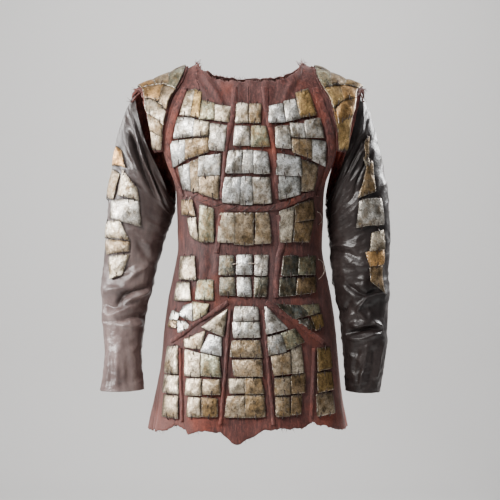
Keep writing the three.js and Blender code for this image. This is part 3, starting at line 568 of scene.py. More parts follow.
def hideFinish(name, look, streak=(230, 230, 42), lightness=1.0):
    # streak is how fine the upright streaks are in x, y and z
    material, nodes, links, shader = newFinish(name)
    dark, middle, light, rustTone, mauveTone = (
        scaledColour(look[part], lightness) for part in ("dark", "middle", "light", "rust", "mauve"))
    streaks = grain(nodes, links, 1.0, streak, 5, 0.7)
    patches = grain(nodes, links, 17, (1, 1, 0.6), 4, 0.6)
    clouds = grain(nodes, links, 7, (1, 1, 0.7), 3, 0.55)
    fibres = grain(nodes, links, 1.0, (streak[0] * 2.6, streak[1] * 2.6, streak[2] * 9), 4, 0.75)
    fuzz = grain(nodes, links, 420, (1, 1, 0.6), 4, 0.75)
    base = ramp(nodes, links, streaks, [(0.25, dark), (0.5, middle), (0.8, light)])
    rust = ramp(nodes, links, patches, [(0.5, grey(0)), (0.68, grey(1))])
    base = blendOf(nodes, links, "MIX", base, rustTone, sums(nodes, links, "MULTIPLY", rust, 0.6))
    mauve = ramp(nodes, links, clouds, [(0.5, grey(0)), (0.66, grey(1))])
    base = blendOf(nodes, links, "MIX", base, mauveTone, sums(nodes, links, "MULTIPLY", mauve, 0.5))
    # redder and brighter towards the hem, darker round the waist
    place = nodes.new("ShaderNodeTexCoord")
    split = nodes.new("ShaderNodeSeparateXYZ")
    links.new(place.outputs["Object"], split.inputs["Vector"])
    down = sums(nodes, links, "MULTIPLY", split.outputs["Z"], -1 / look["length"])
    wander = sums(nodes, links, "MULTIPLY", sums(nodes, links, "SUBTRACT", clouds, 0.5), 0.25)
    down = sums(nodes, links, "ADD", down, wander)
    height = ramp(nodes, links, down, [
        (0.0, (1.15, 1.02, 1.0)),
        (0.3, (0.95, 0.95, 0.97)),
        (0.55, (0.85, 0.86, 0.9)),
        (0.88, (0.9, 0.8, 0.78)),
        (0.97, (1.35, 1.0, 0.85)),
    ])
    base = blendOf(nodes, links, "MULTIPLY", base, height, 1.0)
    nap = ramp(nodes, links, fibres, [(0.34, (0.42, 0.4, 0.4)), (0.5, grey(1)), (0.68, (1.7, 1.62, 1.58))])
    base = blendOf(nodes, links, "MULTIPLY", base, nap, 0.75)
    dust = ramp(nodes, links, fuzz, [(0.4, (0.75, 0.74, 0.74)), (0.68, (1.4, 1.38, 1.36))])
    base = blendOf(nodes, links, "MULTIPLY", base, dust, 0.6)
    links.new(base, shader.inputs["Base Color"])
    rough = ramp(nodes, links, patches, [(0.3, grey(0.62)), (0.7, grey(0.88))])
    links.new(rough, shader.inputs["Roughness"])
    shader.inputs["Sheen Weight"].default_value = look["sheen"]
    shader.inputs["Sheen Roughness"].default_value = 0.45
    shader.inputs["Sheen Tint"].default_value = (0.9, 0.55, 0.5, 1)
    shader.inputs["Specular IOR Level"].default_value = 0.4
    relief(nodes, links, shader, [
        (streaks, 0.35, 0.6),
        (patches, 0.5, 3.0),
        (fibres, 0.6, 0.35),
        (fuzz, 0.6, 0.4),
    ])
    return material


sleeveLook = {
    "dark": (0.018, 0.0115, 0.0105),
    "middle": (0.064, 0.044, 0.041),
    "light": (0.15, 0.115, 0.107),
    "roughness": (0.33, 0.47),
    "length": 0.66,          # shoulder line to cuff, metres
}


def sleeveFinish(name, upper, lower, gloss):
    # upper and lower are how light the leather is painted at the shoulder and at the cuff, as painted light
    # and shade
    material, nodes, links, shader = newFinish(name)
    patches = grain(nodes, links, 14, (1, 1, 0.6), 5, 0.6)
    pores = grain(nodes, links, 900, (1, 1, 1), 2, 0.5)
    creases = grain(nodes, links, 75, (1, 1, 1.7), 4, 0.62)
    rubbed = grain(nodes, links, 1.0, (120, 120, 18), 4, 0.65)
    tones = [(0.28, sleeveLook["dark"]), (0.5, sleeveLook["middle"]), (0.75, sleeveLook["light"])]
    base = ramp(nodes, links, patches, tones)
    wear = ramp(nodes, links, rubbed, [(0.35, (0.7, 0.68, 0.68)), (0.72, (1.5, 1.42, 1.4))])
    base = blendOf(nodes, links, "MULTIPLY", base, wear, 0.4)
    # painted light and shade: the leather's colour is scaled from upper at the shoulder to lower at the
    # cuff
    place = nodes.new("ShaderNodeTexCoord")
    split = nodes.new("ShaderNodeSeparateXYZ")
    links.new(place.outputs["Object"], split.inputs["Vector"])
    down = sums(nodes, links, "MULTIPLY", split.outputs["Z"], -1 / sleeveLook["length"])
    shade = ramp(nodes, links, down, [(0.25, grey(upper)), (0.8, grey(lower))])
    base = blendOf(nodes, links, "MULTIPLY", base, shade, 1.0)
    links.new(base, shader.inputs["Base Color"])
    low, high = sleeveLook["roughness"]
    rough = ramp(nodes, links, patches, [(0.3, grey(high)), (0.7, grey(low))])
    links.new(rough, shader.inputs["Roughness"])
    shader.inputs["Specular IOR Level"].default_value = gloss
    shader.inputs["Sheen Weight"].default_value = 0.05
    shader.inputs["Sheen Roughness"].default_value = 0.4
    shader.inputs["Sheen Tint"].default_value = (0.95, 0.85, 0.83, 1)
    relief(nodes, links, shader, [(patches, 0.25, 2.0), (creases, 0.7, 1.4), (pores, 0.35, 0.12)])
    return material


plateLook = {
    "shade": (0.2, 0.18, 0.15),      # what the darkest patches multiply the plate's tint by: partly tarnish, partly painted shade
    "stain": (0.30, 0.19, 0.085),
    # dark of the flecks and of the plate edges; on the edges it is partly painted shade
    "grimeAndShade": (0.035, 0.028, 0.02),
    "bare": (0.93, 0.91, 0.87),
    "metal": 0.9,
    "roughness": (0.24, 0.46),
}


def plateFinish(name, look):
    # each plate carries its own tint, with the share of stains beside it, and its own place as a flat map
    material, nodes, links, shader = newFinish(name)
    tint = nodes.new("ShaderNodeVertexColor")
    tint.layer_name = "plateTint"
    own = nodes.new("ShaderNodeUVMap")
    own.uv_map = "plateMap"
    split = nodes.new("ShaderNodeSeparateXYZ")
    links.new(own.outputs["UV"], split.inputs["Vector"])
    broad = grain(nodes, links, 52, (1, 1, 0.8), 5, 0.62)
    mottle = grain(nodes, links, 150, (1, 1, 1), 6, 0.7)
    stains = grain(nodes, links, 110, (1.1, 1, 0.8), 8, 0.74)
    flecks = grain(nodes, links, 430, (1, 1, 1), 5, 0.75)
    scratches = grain(nodes, links, 1.0, (1100, 1100, 90), 3, 0.6)
    base = tint.outputs["Color"]
    # broad and fine mottling scales the tint from well below it to past white: partly tarnish, partly
    # painted highlight and painted shade
    tarnishAndPaintedLight = ramp(nodes, links, broad, [
        (0.35, look["shade"]),
        (0.47, (0.64, 0.62, 0.59)),
        (0.55, (1.05, 1.05, 1.04)),
        (0.65, grey(1.5)),
    ])
    base = blendOf(nodes, links, "MULTIPLY", base, tarnishAndPaintedLight, 0.95)
    fine = ramp(nodes, links, mottle, [(0.36, grey(0.32)), (0.5, grey(0.95)), (0.64, grey(1.4))])
    base = blendOf(nodes, links, "MULTIPLY", base, fine, 0.7)
    stained = ramp(nodes, links, stains, [(0.42, grey(0)), (0.66, grey(1))])
    stainShare = sums(nodes, links, "MULTIPLY", stained, tint.outputs["Alpha"])
    base = blendOf(nodes, links, "MIX", base, look["stain"], stainShare)
    dirt = ramp(nodes, links, flecks, [(0.38, grey(1)), (0.49, grey(0))])
    base = blendOf(nodes, links, "MIX", base, look["grimeAndShade"], sums(nodes, links, "MULTIPLY", dirt, 0.85))
    # grime and painted shade darken the edges, and bare metal shows on the rim
    away = [sums(nodes, links, "ABSOLUTE", split.outputs[axis], 0.0) for axis in ("X", "Y")]
    edge = sums(nodes, links, "MAXIMUM", away[0], away[1])
    wander = sums(nodes, links, "MULTIPLY", sums(nodes, links, "SUBTRACT", mottle, 0.5), 0.7)
    ragged = sums(nodes, links, "ADD", edge, wander)
    grimeAndShadeBorder = ramp(nodes, links, ragged, [(0.76, grey(0)), (1.0, grey(1))])
    base = blendOf(nodes, links, "MIX", base, look["grimeAndShade"], sums(nodes, links, "MULTIPLY", grimeAndShadeBorder, 0.72))
    worn = sums(nodes, links, "MULTIPLY", edge, scratches)
    rim = ramp(nodes, links, worn, [(0.52, grey(0)), (0.6, grey(1))])
    base = blendOf(nodes, links, "MIX", base, look["bare"], sums(nodes, links, "MULTIPLY", rim, 0.4))
    links.new(base, shader.inputs["Base Color"])
    shader.inputs["Metallic"].default_value = look["metal"]
    low, high = look["roughness"]
    rough = ramp(nodes, links, mottle, [(0.3, grey(high)), (0.68, grey(low))])
    rough = blendOf(nodes, links, "MIX", rough, grey(0.75), stainShare)
    links.new(rough, shader.inputs["Roughness"])
    shader.inputs["Specular IOR Level"].default_value = 0.5
    relief(nodes, links, shader, [
        (broad, 0.9, 3.2),
        (mottle, 0.6, 0.7),
        (flecks, 0.4, 0.22),
        (scratches, 0.25, 0.1),
    ])
    return material


def plainFinish(name, dark, light, roughness):
    material, nodes, links, shader = newFinish(name)
    mottle = grain(nodes, links, 220, (1, 1, 1), 4, 0.6)
    links.new(ramp(nodes, links, mottle, [(0.35, dark), (0.68, light)]), shader.inputs["Base Color"])
    shader.inputs["Roughness"].default_value = roughness
    relief(nodes, links, shader, [(mottle, 0.5, 0.3)])
    return material


oxbloodHide = hideFinish("oxbloodHide", hideLook)
rolledHide = hideFinish("rolledHide", hideLook, (240, 240, 90), 1.2)
hideLining = hideFinish("hideLining", hideLook, (90, 90, 60), 0.6)
# lit and shaded copies of one leather: the right sleeve is painted light towards the cuff, the left sleeve
# is painted dark all along
litAndShadedSleeveLeather = {
    "sleeve_right": sleeveFinish("paintedLightSleeveLeather", 0.36, 1.9, 0.6),
    "sleeve_left": sleeveFinish("paintedShadeSleeveLeather", 0.26, 0.3, 0.42),
}
# the sleeves' lining is painted 3.2 times as light as the hide, as painted light inside the shaded sleeve
paintedLightSleeveLining = hideFinish("paintedLightSleeveLining", hideLook, (120, 120, 50), 3.2)
silverPlate = plateFinish("silverPlate", plateLook)
lacingThong = plainFinish("lacingThong", (0.012, 0.006, 0.005), (0.045, 0.02, 0.015), 0.6)
paleThong = plainFinish("paleThong", (0.2, 0.15, 0.12), (0.5, 0.42, 0.36), 0.7)
# near-black finish for the painted shade in the lacing holes and in the breast seam
paintedShade = plainFinish("paintedShade", (0.004, 0.003, 0.003), (0.012, 0.009, 0.008), 0.9)
print("finishes are mixed")


# hide panels
panelCut = {
    "upper": 38,             # rows of the mesh over the shoulder
    "chest": 14,             # then down to the foot of the armholes
    "skirt": 120,            # and on to the hem
    "front": 168,            # columns of the mesh
    "back": 132,
    "hemRag": 3.2,           # how far the raw edges wander
    "neckRag": 2.4,
    "ruffle": 3.0,           # waves along the neck edge
    "ruffleLength": 4.2,
    "neckBand": 22,          # the waves die out this far below the neck edge
    "neckPast": 8,           # and this far past the neck point
    "curl": 2.2,             # the hem turns in and out by this much
    "hemBand": 30,
    "sideBand": 0.04,        # share of the width that stays still at a side seam
    "ripple": 0.9,           # soft unevenness of the hide
    "seamHalf": 0.15,        # half of the gap between front and back at a seam
}
panelCreases = {  # path of (x, z), width, rise; a negative rise is a trough
    -1: [
        ([(-101, -8), (-86, -30), (-64, -62), (-52, -88)], 5.5, 3.4),
        ([(-92, -8), (-75, -32), (-55, -62), (-44, -90)], 4.5, -3.0),
        ([(-112, -20), (-100, -40), (-86, -62)], 5, 2.4),
        ([(100, -10), (86, -32), (72, -58), (66, -80)], 6, 2.8),
        ([(108, -14), (97, -36), (86, -60)], 4.5, -2.6),
        ([(-20, -40), (-22, -60), (-27, -84)], 6, 1.8),
        ([(30, -44), (26, -62), (28, -84)], 6, 1.5),
        ([(56, -34), (50, -54), (46, -80)], 5, -1.5),
        ([(-92, -372), (-88, -398), (-94, -428)], 6, 2.2),
        ([(-80, -374), (-76, -400), (-82, -428)], 5, -2.0),
        ([(-104, -374), (-103, -400), (-108, -428)], 5, -1.8),
        ([(50, -372), (48, -420), (44, -470)], 5, 1.6),
        ([(-64, -376), (-66, -420), (-62, -470)], 5, 1.8),
        ([(70, -470), (52, -478), (40, -492)], 5, 1.5),
        ([(-140, -330), (-136, -360), (-141, -392)], 6, 2.0),
        ([(138, -320), (133, -356), (138, -396)], 6, 2.0),
    ],
    1: [
        ([(-90, -12), (-72, -36), (-50, -48)], 6, 2.6),
        ([(92, -12), (76, -36), (56, -48)], 6, 2.6),
        ([(-128, -300), (-96, -322), (-62, -330)], 7, 1.8),
        ([(128, -310), (98, -330), (62, -338)], 7, 1.8),
    ],
}


def columnX(s, z):
    return np.sign(s) * np.abs(np.sin(s * math.pi / 2)) ** bodyForm["columnPower"] * edgeAt(z)


def topAngle(side, s):
    x = columnX(s, bodyForm["neckTop"] + 0 * s)
    for _ in range(8):
        x = columnX(s, neckEdge(side, x))
    climb = (neckEdge(side, x) - bodyForm["zRound"]) / (ridgeAt(x) - bodyForm["zRound"])
    angle = np.arcsin(np.clip(climb, -1, 1))
    return np.where(np.abs(s) > bodyForm["neckColumn"] - 1e-6, math.pi / 2, angle)


def panelGrid(side, columns):
    s = np.linspace(-1, 1, columns + 1)
    xs, zs, lies = [], [], []
    top = topAngle(side, s)
    upper, chest, skirt = panelCut["upper"], panelCut["chest"], panelCut["skirt"]
    for i in range(upper):
        angle = top * (1 - i / upper)
        z = bodyForm["neckTop"] + 0 * s
        for _ in range(24):
            z = bodyForm["zRound"] + (ridgeAt(columnX(s, z)) - bodyForm["zRound"]) * np.sin(angle)
        xs.append(columnX(s, z))
        zs.append(z)
        lies.append(np.cos(angle))
    for i in range(chest):
        z = bodyForm["zRound"] + (bodyForm["zArm"] - bodyForm["zRound"]) * i / chest + 0 * s
        xs.append(columnX(s, z))
        zs.append(z)
        lies.append(1 + 0 * s)
    hem = hemAt[side](columnX(s, bodyForm["hemLevel"] + 0 * s))
    rag = panelCut["hemRag"]
    edge = flatPlaces(s * 180, 0)
    hem = hem + rag * lumps(edge, 9, 3 + side) + 0.5 * rag * lumps(edge, 3, 5 + side)
    for i in range(skirt + 1):
        share = i / skirt
        z = bodyForm["zArm"] + (hem - bodyForm["zArm"]) * share
        xs.append(columnX(s, z))
        zs.append(z)
        lies.append(1 + 0 * s)
    xs, zs, lies = (np.stack(rows) for rows in (xs, zs, lies))
    points = torsoPoint(side, xs, zs, lies)
    # the side and shoulder seams meet in the middle plane
    seams = np.zeros(xs.shape, bool)
    seams[upper + chest:, 0] = True
    seams[upper + chest:, -1] = True
    seams[0, np.abs(s) > bodyForm["neckColumn"] - 1e-6] = True
    points[..., 1] = np.where(seams, side * panelCut["seamHalf"], points[..., 1])
    return s, xs, zs, points, seams


def gridNormals(points, side, seams):
    padded = np.pad(points, ((1, 1), (1, 1), (0, 0)), mode="edge")
    across = padded[1:-1, 2:] - padded[1:-1, :-2]
    down = padded[2:, 1:-1] - padded[:-2, 1:-1]
    normal = np.cross(across, -down) * -side
    normal[..., 1] = np.where(seams, 0, normal[..., 1])
    return normal / np.maximum(np.linalg.norm(normal, axis=-1, keepdims=True), 1e-12)


def creaseHeight(u, v, creases, uMm, vMm, wrap=None):
    # uMm and vMm are the millimetres of one unit of u and v; wrap is one whole turn of u
    total = np.zeros(u.shape)
    for path, width, rise in creases:
        nearest = np.full(u.shape, 1e9)
        share = np.zeros(u.shape)
        for i in range(len(path) - 1):
            (u0, v0), (u1, v1) = path[i], path[i + 1]
            run = np.array([(u1 - u0) * uMm, (v1 - v0) * vMm])
            du = u - u0 if wrap is None else (u - u0 + wrap / 2) % wrap - wrap / 2
            dv = (v - v0) * vMm
            t = np.clip((du * uMm * run[0] + dv * run[1]) / (run @ run), 0, 1)
            away = np.hypot(du * uMm - t * run[0], dv - t * run[1])
            share = np.where(away < nearest, (i + t) / (len(path) - 1), share)
            nearest = np.minimum(nearest, away)
        taper = np.sqrt(np.clip(4 * share * (1 - share) + 0.12, 0, 1))
        total = total + rise * taper * np.exp(-(nearest / width) ** 2)
    return total


def makePanel(name, side, columns):
    s, xs, zs, points, seams = panelGrid(side, columns)
    normal = gridNormals(points, side, seams)
    flat = flatPlaces(xs, zs)
    ripple = lumps(flat * (1, 0.5, 1), 26, 11) + 0.5 * lumps(flat * (1, 0.6, 1), 9, 12)
    ripple = panelCut["ripple"] * ripple
    nearNeck = np.clip(1 - (neckEdge(side, xs) - zs) / panelCut["neckBand"], 0, 1)
    nearNeck = nearNeck * (np.abs(xs) < neckHalf + panelCut["neckPast"])
    wave = np.sin(np.abs(xs) / panelCut["ruffleLength"] + lumps(flat, 14, 21) * 2.2) * panelCut["ruffle"]
    nearHem = np.clip(1 - (zs - zs[-1:]) / panelCut["hemBand"], 0, 1)
    curl = nearHem ** 2 * (panelCut["curl"] * lumps(flat * (1, 0.2, 1), 17, 31))
    fromSide = np.clip((1 - np.abs(s)) / panelCut["sideBand"], 0, 1)
    still = np.where(seams, 0.0, 1.0) * fromSide[None, :]
    folds = creaseHeight(xs, zs, panelCreases[side], 1, 1)
    height = (ripple + nearNeck ** 2 * wave * 0.8 + curl + folds) * still
    edge = flatPlaces(xs, 0 * zs)
    rag = nearNeck ** 3 * panelCut["neckRag"] * (lumps(edge, 5, 41) + 0.6 * lumps(edge, 2.2, 42))
    points = points + np.stack([0 * xs, 0 * xs, rag], axis=-1)
    outer = points + normal * (bodyForm["hideWall"] + height)[..., None]
    inner = points + normal * height[..., None]
    points, faces, indices = shellOf(outer, inner)
    return makePiece(name, points, faces, [oxbloodHide, hideLining], indices=indices)


frontHide = makePanel("front_hide", -1, panelCut["front"])
backHide = makePanel("back_hide", 1, panelCut["back"])
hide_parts("front_panel")
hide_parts("back_panel")
print("hide panels are cut")


# shoulder caps
capCut = {
    "across": 34,            # mesh over the width and along the cap
    "along": 110,
    "wide": 60,              # usual width and length, millimetres
    "long": 380,
    "rag": 1.6,              # how far the raw edge wanders
    "curl": 0.8,
    "ripple": 0.7,
}


def makeCap(name, hand, node):
    surface = capSurface(hand)
    along = np.linspace(0, 1, capCut["along"] + 1)
    across = np.linspace(0, 1, capCut["across"] + 1)
    b, a = np.meshgrid(along, across, indexing="ij")
    flat = flatPlaces(a * capCut["wide"] + hand * 200, b * capCut["long"])
    edge = np.maximum(np.abs(a - 0.5) * 2, np.abs(b - 0.5) * 2) ** 8
    push = capCut["rag"] * edge * lumps(flat, 7, 51)
    height = capCut["ripple"] * lumps(flat, 18, 52) + edge * capCut["curl"] * lumps(flat, 10, 53)
    shift = push / capCut["wide"] * np.sign(a - 0.5) * (np.abs(a - 0.5) * 2) ** 8
    outer = lifted(surface, a + shift, b, bodyForm["capLift"] + bodyForm["capWall"] + height)
    inner = lifted(surface, a + shift, b, bodyForm["capLift"] + height)
    points, faces, indices = shellOf(outer, inner)
    piece = makePiece(name, points, faces, [oxbloodHide, hideLining], indices=indices)
    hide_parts(node)


makeCap("shoulder_cap_right", -1, "cap_right")
makeCap("shoulder_cap_left", 1, "cap_left")
print("shoulder caps are on")


# sleeves
sleeveCut = {
    "round": 160,            # mesh round the sleeve and down it
    "along": 272,
    "radius": 60,            # usual radius and ring spacing, millimetres
    "ringStep": 36.0,
    "ripple": 0.75,
    "leftRipple": 1.3,       # the left sleeve crumples this many times as much
    "elbowFolds": 0.5,       # how much deeper the creases are at the elbow
    "elbow": (10, 15.2),     # rings above and below the elbow's creases
    "mouthRag": 2.0,
    "cuffRag": 1.6,
}
mouthFold = {  # the right sleeve's mouth is folded back, so its red lining shows
    "rise": 7,
    "ring": 0.15,
    "tall": 0.35,
    "turn": 118,
    "wide": 34,
}
sleeveCreases = {  # path of (turn, ring), width in mm, rise in mm; a negative rise is a trough
    "sleeve_right": [
        ([(55, 2.35), (62, 2.25), (70, 2.2), (84, 2.6), (98, 3.0), (107, 3.5), (118, 4.2)], 9, -15),
        ([(60, 1.0), (70, 1.2), (80, 1.6), (92, 2.1), (103, 2.6), (118, 3.4), (130, 4.3)], 10, 9),
        ([(50, 2.4), (60, 2.9), (70, 3.2), (78, 3.4), (88, 3.8), (97, 4.4)], 10, 7),
        ([(86, 0.7), (97, 1.2), (107, 1.9), (118, 2.4), (128, 3.2), (142, 4.2)], 7.5, -9),
        ([(98, 8.2), (108, 8.9), (125, 9.5), (146, 9.9)], 9, -5.5),
        ([(106, 8.5), (120, 8.7), (138, 8.9)], 8, 3.0),
        ([(94, 11.4), (112, 10.7), (128, 10.4)], 5.5, 3.5),
        ([(88, 10.6), (104, 10.2), (122, 10.1)], 6, -2.5),
        ([(76, 12.95), (85, 12.5), (100, 12.2), (118, 11.95), (145, 11.75)], 7, -6.5),
        ([(90, 13.0), (105, 12.55), (125, 12.3), (152, 12.0)], 6, 4.6),
        ([(38, 13.0), (62, 13.15), (84, 13.15)], 4, -2.8),
        ([(22, 13.5), (60, 13.6), (95, 13.3), (128, 12.85)], 10, 4.0),
        ([(25, 12.4), (50, 12.2), (80, 11.9)], 9, 2.6),
        ([(74, 13.95), (92, 13.85), (108, 13.75), (130, 13.75), (160, 13.85)], 7.5, -6.5),
        ([(26, 14.0), (76, 14.0)], 3.4, -3.0),
        ([(86, 14.3), (120, 14.35), (150, 14.25)], 5, 3.0),
        ([(78, 15.6), (80, 17.4), (83, 19)], 8, 2.6),
        ([(58, 15.8), (60, 17.5), (58, 19)], 7, -2.0),
        ([(100, 15.2), (112, 17.0), (114, 19)], 9, -2.6),
        ([(200, 12.6), (250, 13.2), (300, 13.0)], 9, -5.0),
        ([(190, 11.4), (240, 12.0), (290, 12.0)], 9, 4.0),
        ([(205, 13.9), (255, 14.4), (305, 14.1)], 7, -4.0),
        ([(210, 2.5), (240, 4.0), (260, 6.0)], 9, -4.5),
        ([(230, 2.0), (262, 3.4), (285, 5.6)], 9, 4.0),
        ([(250, 7.6), (280, 8.4), (310, 8.6)], 9, -3.5),
        ([(240, 15.5), (270, 16.2), (300, 15.8)], 8, 3.0),
    ],
    "sleeve_left": [
        ([(52, 2.8), (66, 2.2), (82, 2.0), (96, 2.0), (112, 2.1)], 5, -6.0),
        ([(50, 0.9), (60, 1.5), (76, 1.2), (96, 1.1)], 7, 4.0),
        ([(58, 3.1), (75, 2.8), (88, 2.9), (104, 3.0)], 6, 3.4),
        ([(58, 3.9), (70, 3.9), (80, 4.0), (90, 4.3), (99, 5.0)], 5, -4.2),
        ([(155, 7.9), (128, 8.2), (104, 8.7)], 5, 2.6),
        ([(152, 8.4), (122, 8.8), (100, 9.4)], 6, -3.6),
        ([(158, 8.9), (134, 9.1)], 5, 2.4),
        ([(114, 9.6), (100, 9.95), (85, 10.1), (75, 10.0)], 9, 4.4),
        ([(88, 10.4), (90, 11.1), (96, 11.5)], 9, 3.0),
        ([(128, 11.1), (118, 11.3), (100, 11.7), (86, 11.9), (66, 11.75), (50, 11.8)], 6, -6.5),
        ([(82, 12.05), (92, 12.35), (100, 12.6), (107, 12.85)], 4, 3.8),
        ([(107, 12.85), (98, 13.2), (88, 13.5)], 4, 3.2),
        ([(52, 12.6), (80, 12.75)], 11, -4.5),
        ([(124, 13.75), (110, 13.9), (90, 13.85)], 7, 4.4),
        ([(73, 13.7), (58, 13.85), (46, 14.05)], 4.5, 4.0),
        ([(138, 14.35), (115, 14.2), (95, 14.1), (72, 14.05), (54, 14.2)], 5, -7.0),
        ([(140, 14.6), (118, 14.75), (95, 14.7), (72, 14.5), (54, 14.4)], 7, 4.8),
        ([(86, 15.0), (90, 15.7), (95, 16.5), (103, 17.3), (107, 18.4)], 6, 3.0),
        ([(45, 15.0), (50, 16.3), (55, 17.8)], 6, 2.4),
        ([(68, 15.2), (72, 16.5), (79, 18.2)], 8, -3.2),
        ([(110, 15.3), (126, 16.8)], 9, -3.2),
        ([(120, 12.2), (140, 12.8), (165, 13.0)], 7, -4.0),
        ([(115, 13.0), (140, 13.5), (165, 13.6)], 7, 3.0),
        ([(200, 12.0), (250, 12.6), (300, 12.4)], 9, -5.0),
        ([(190, 10.8), (240, 11.4), (290, 11.4)], 9, 4.0),
        ([(205, 13.6), (255, 14.1), (305, 13.9)], 7, -4.0),
        ([(210, 2.5), (240, 4.0), (260, 6.0)], 9, -4.5),
        ([(230, 2.0), (262, 3.4), (285, 5.6)], 9, 4.0),
        ([(250, 7.6), (280, 8.4), (310, 8.6)], 9, -3.5),
    ],
}


def makeSleeve(name, node):
    sleeve = sleeves[node]
    surface = sleeveSurface(sleeve)
    last = len(sleeve["rings"]) - 1
    down = np.linspace(0, last, sleeveCut["along"] + 1)
    turns = np.arange(sleeveCut["round"]) * 360 / sleeveCut["round"]
    ring, turn = np.meshgrid(down, turns, indexing="ij")
    radius, ringStep = sleeveCut["radius"], sleeveCut["ringStep"]
    loop = [radius * np.cos(np.radians(turn)), radius * np.sin(np.radians(turn)), ring * ringStep]
    loop = np.stack(loop, axis=-1)
    height = creaseHeight(turn, ring, sleeveCreases[node], 1.0, ringStep, 360)
    above, below = sleeveCut["elbow"]
    height *= 1 + sleeveCut["elbowFolds"] * np.clip(ring - above, 0, 1) * np.clip(below - ring, 0, 1)
    slack = 1 - np.abs(lumps(loop * (1, 1, 1.5), 30, 61)) * 2.2   # sharp ridges where the leather crumples
    ripple = sleeveCut["ripple"] * (sleeveCut["leftRipple"] if node == "sleeve_left" else 1.0)
    height += ripple * (1.4 * slack + lumps(loop, 16, 62) + 0.4 * lumps(loop, 7, 64))
    # the folds die out towards the mouth and the cuff
    height *= np.clip(ring / 1.2, 0, 1) * np.clip((last - ring) / 0.7, 0.35, 1)
    if node == "sleeve_right":
        flap = np.exp(-((ring - mouthFold["ring"]) / mouthFold["tall"]) ** 2)
        aside = np.abs((turn - mouthFold["turn"]) / mouthFold["wide"])
        height += mouthFold["rise"] * flap * np.clip(1 - aside ** 2, 0, 1)
    mouth = np.clip(1 - ring / 0.5, 0, 1)
    ring = ring + mouth * sleeveCut["mouthRag"] / ringStep * lumps(loop, 8, 63)
    foot = np.clip(1 - (last - ring) / 0.5, 0, 1)
    rag = foot * sleeveCut["cuffRag"] / ringStep * (1 + lumps(loop, 9, 64)) / 2
    ring = np.minimum(ring - rag, last)
    outer = lifted(surface, turn, ring, height)
    inner = lifted(surface, turn, ring, height - bodyForm["sleeveWall"])
    points, faces, indices = shellOf(outer, inner, closed=True)
    finishes = [litAndShadedSleeveLeather[node], paintedLightSleeveLining]
    piece = makePiece(name, points, faces, finishes, indices=indices)
    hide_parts(node)


makeSleeve("leather_sleeve_right", "sleeve_right")
makeSleeve("leather_sleeve_left", "sleeve_left")
print("sleeves are set in")


# rolled hide welts and bands
weltMake = {
    "seat": 0.6,             # underside over the hide
    "height": 4.4,           # top over the hide
    "step": 2.0,             # mesh along, millimetres
    "round": 12,             # mesh across
    "lump": 0.9,
    "twistRise": 0.45,       # how far the wraps of the band stand out
    "under": 0.3,            # thickness of the edges
}
weltPaths = {  # x out from the middle, z and width
    "piping": [
        (128, -50, 13), (137.5, -76, 16), (149, -110, 16), (157, -150, 16), (157.5, -182, 16),
        (151, -207, 14), (141, -232, 12), (134.5, -247, 10), (131, -262, 8),
    ],
    "upper": [
        (29, -50, 13), (30.5, -83, 13), (37, -123, 12), (42.5, -147, 10), (46.7, -172, 9),
        (50.8, -222, 10.5), (54.5, -268, 9.5),
    ],
    "lowerRight": [(56.5, -300, 10.5), (59.5, -330, 12), (62, -355, 12), (65, -375, 11)],
    "lowerLeft": [
        (56.5, -300, 10.5), (59.5, -330, 12), (61.5, -355, 12), (55, -383, 11), (51.5, -421, 11),
        (50, -463, 11),
    ],
    "hip": [(37, -471, 9), (65, -491, 10), (94, -509, 10), (122, -531, 10), (148, -551, 10)],
    "skirt": [(32.5, -486, 7), (37, -540, 7.5), (41, -600, 7.5), (46, -650, 7.5), (50.5, -706, 8)],
    "outer": [(129, -562, 7), (128, -610, 7), (126, -655, 7), (124, -704, 7)],
    "back": [
        (60, -40, 11), (61, -80, 11), (62, -130, 11), (62, -180, 11), (60, -260, 11), (56, -350, 11),
        (58, -440, 11), (64, -530, 11), (70, -620, 11), (74, -708, 11),
    ],
    "band": [
        (-122, -256, 14), (-100, -264, 14), (-80, -273, 14), (-57, -282, 13), (-30, -287, 13),
        (0, -288, 13), (30, -287, 13), (57, -282, 13), (80, -273, 14), (100, -264, 14), (122, -256, 14),
    ],
}


def rollProfile(w):
    # height across the strip, from one edge (-1) to the other (1), as a share of the full height
    return np.sqrt(np.clip(1 - np.abs(w) ** 2.2, 0, 1))


def doubleProfile(w):
    groove = 1 - 0.42 * np.exp(-((w + 0.38) / 0.13) ** 2)
    return np.sqrt(np.clip(1 - np.abs(w) ** 6, 0, 1)) * groove


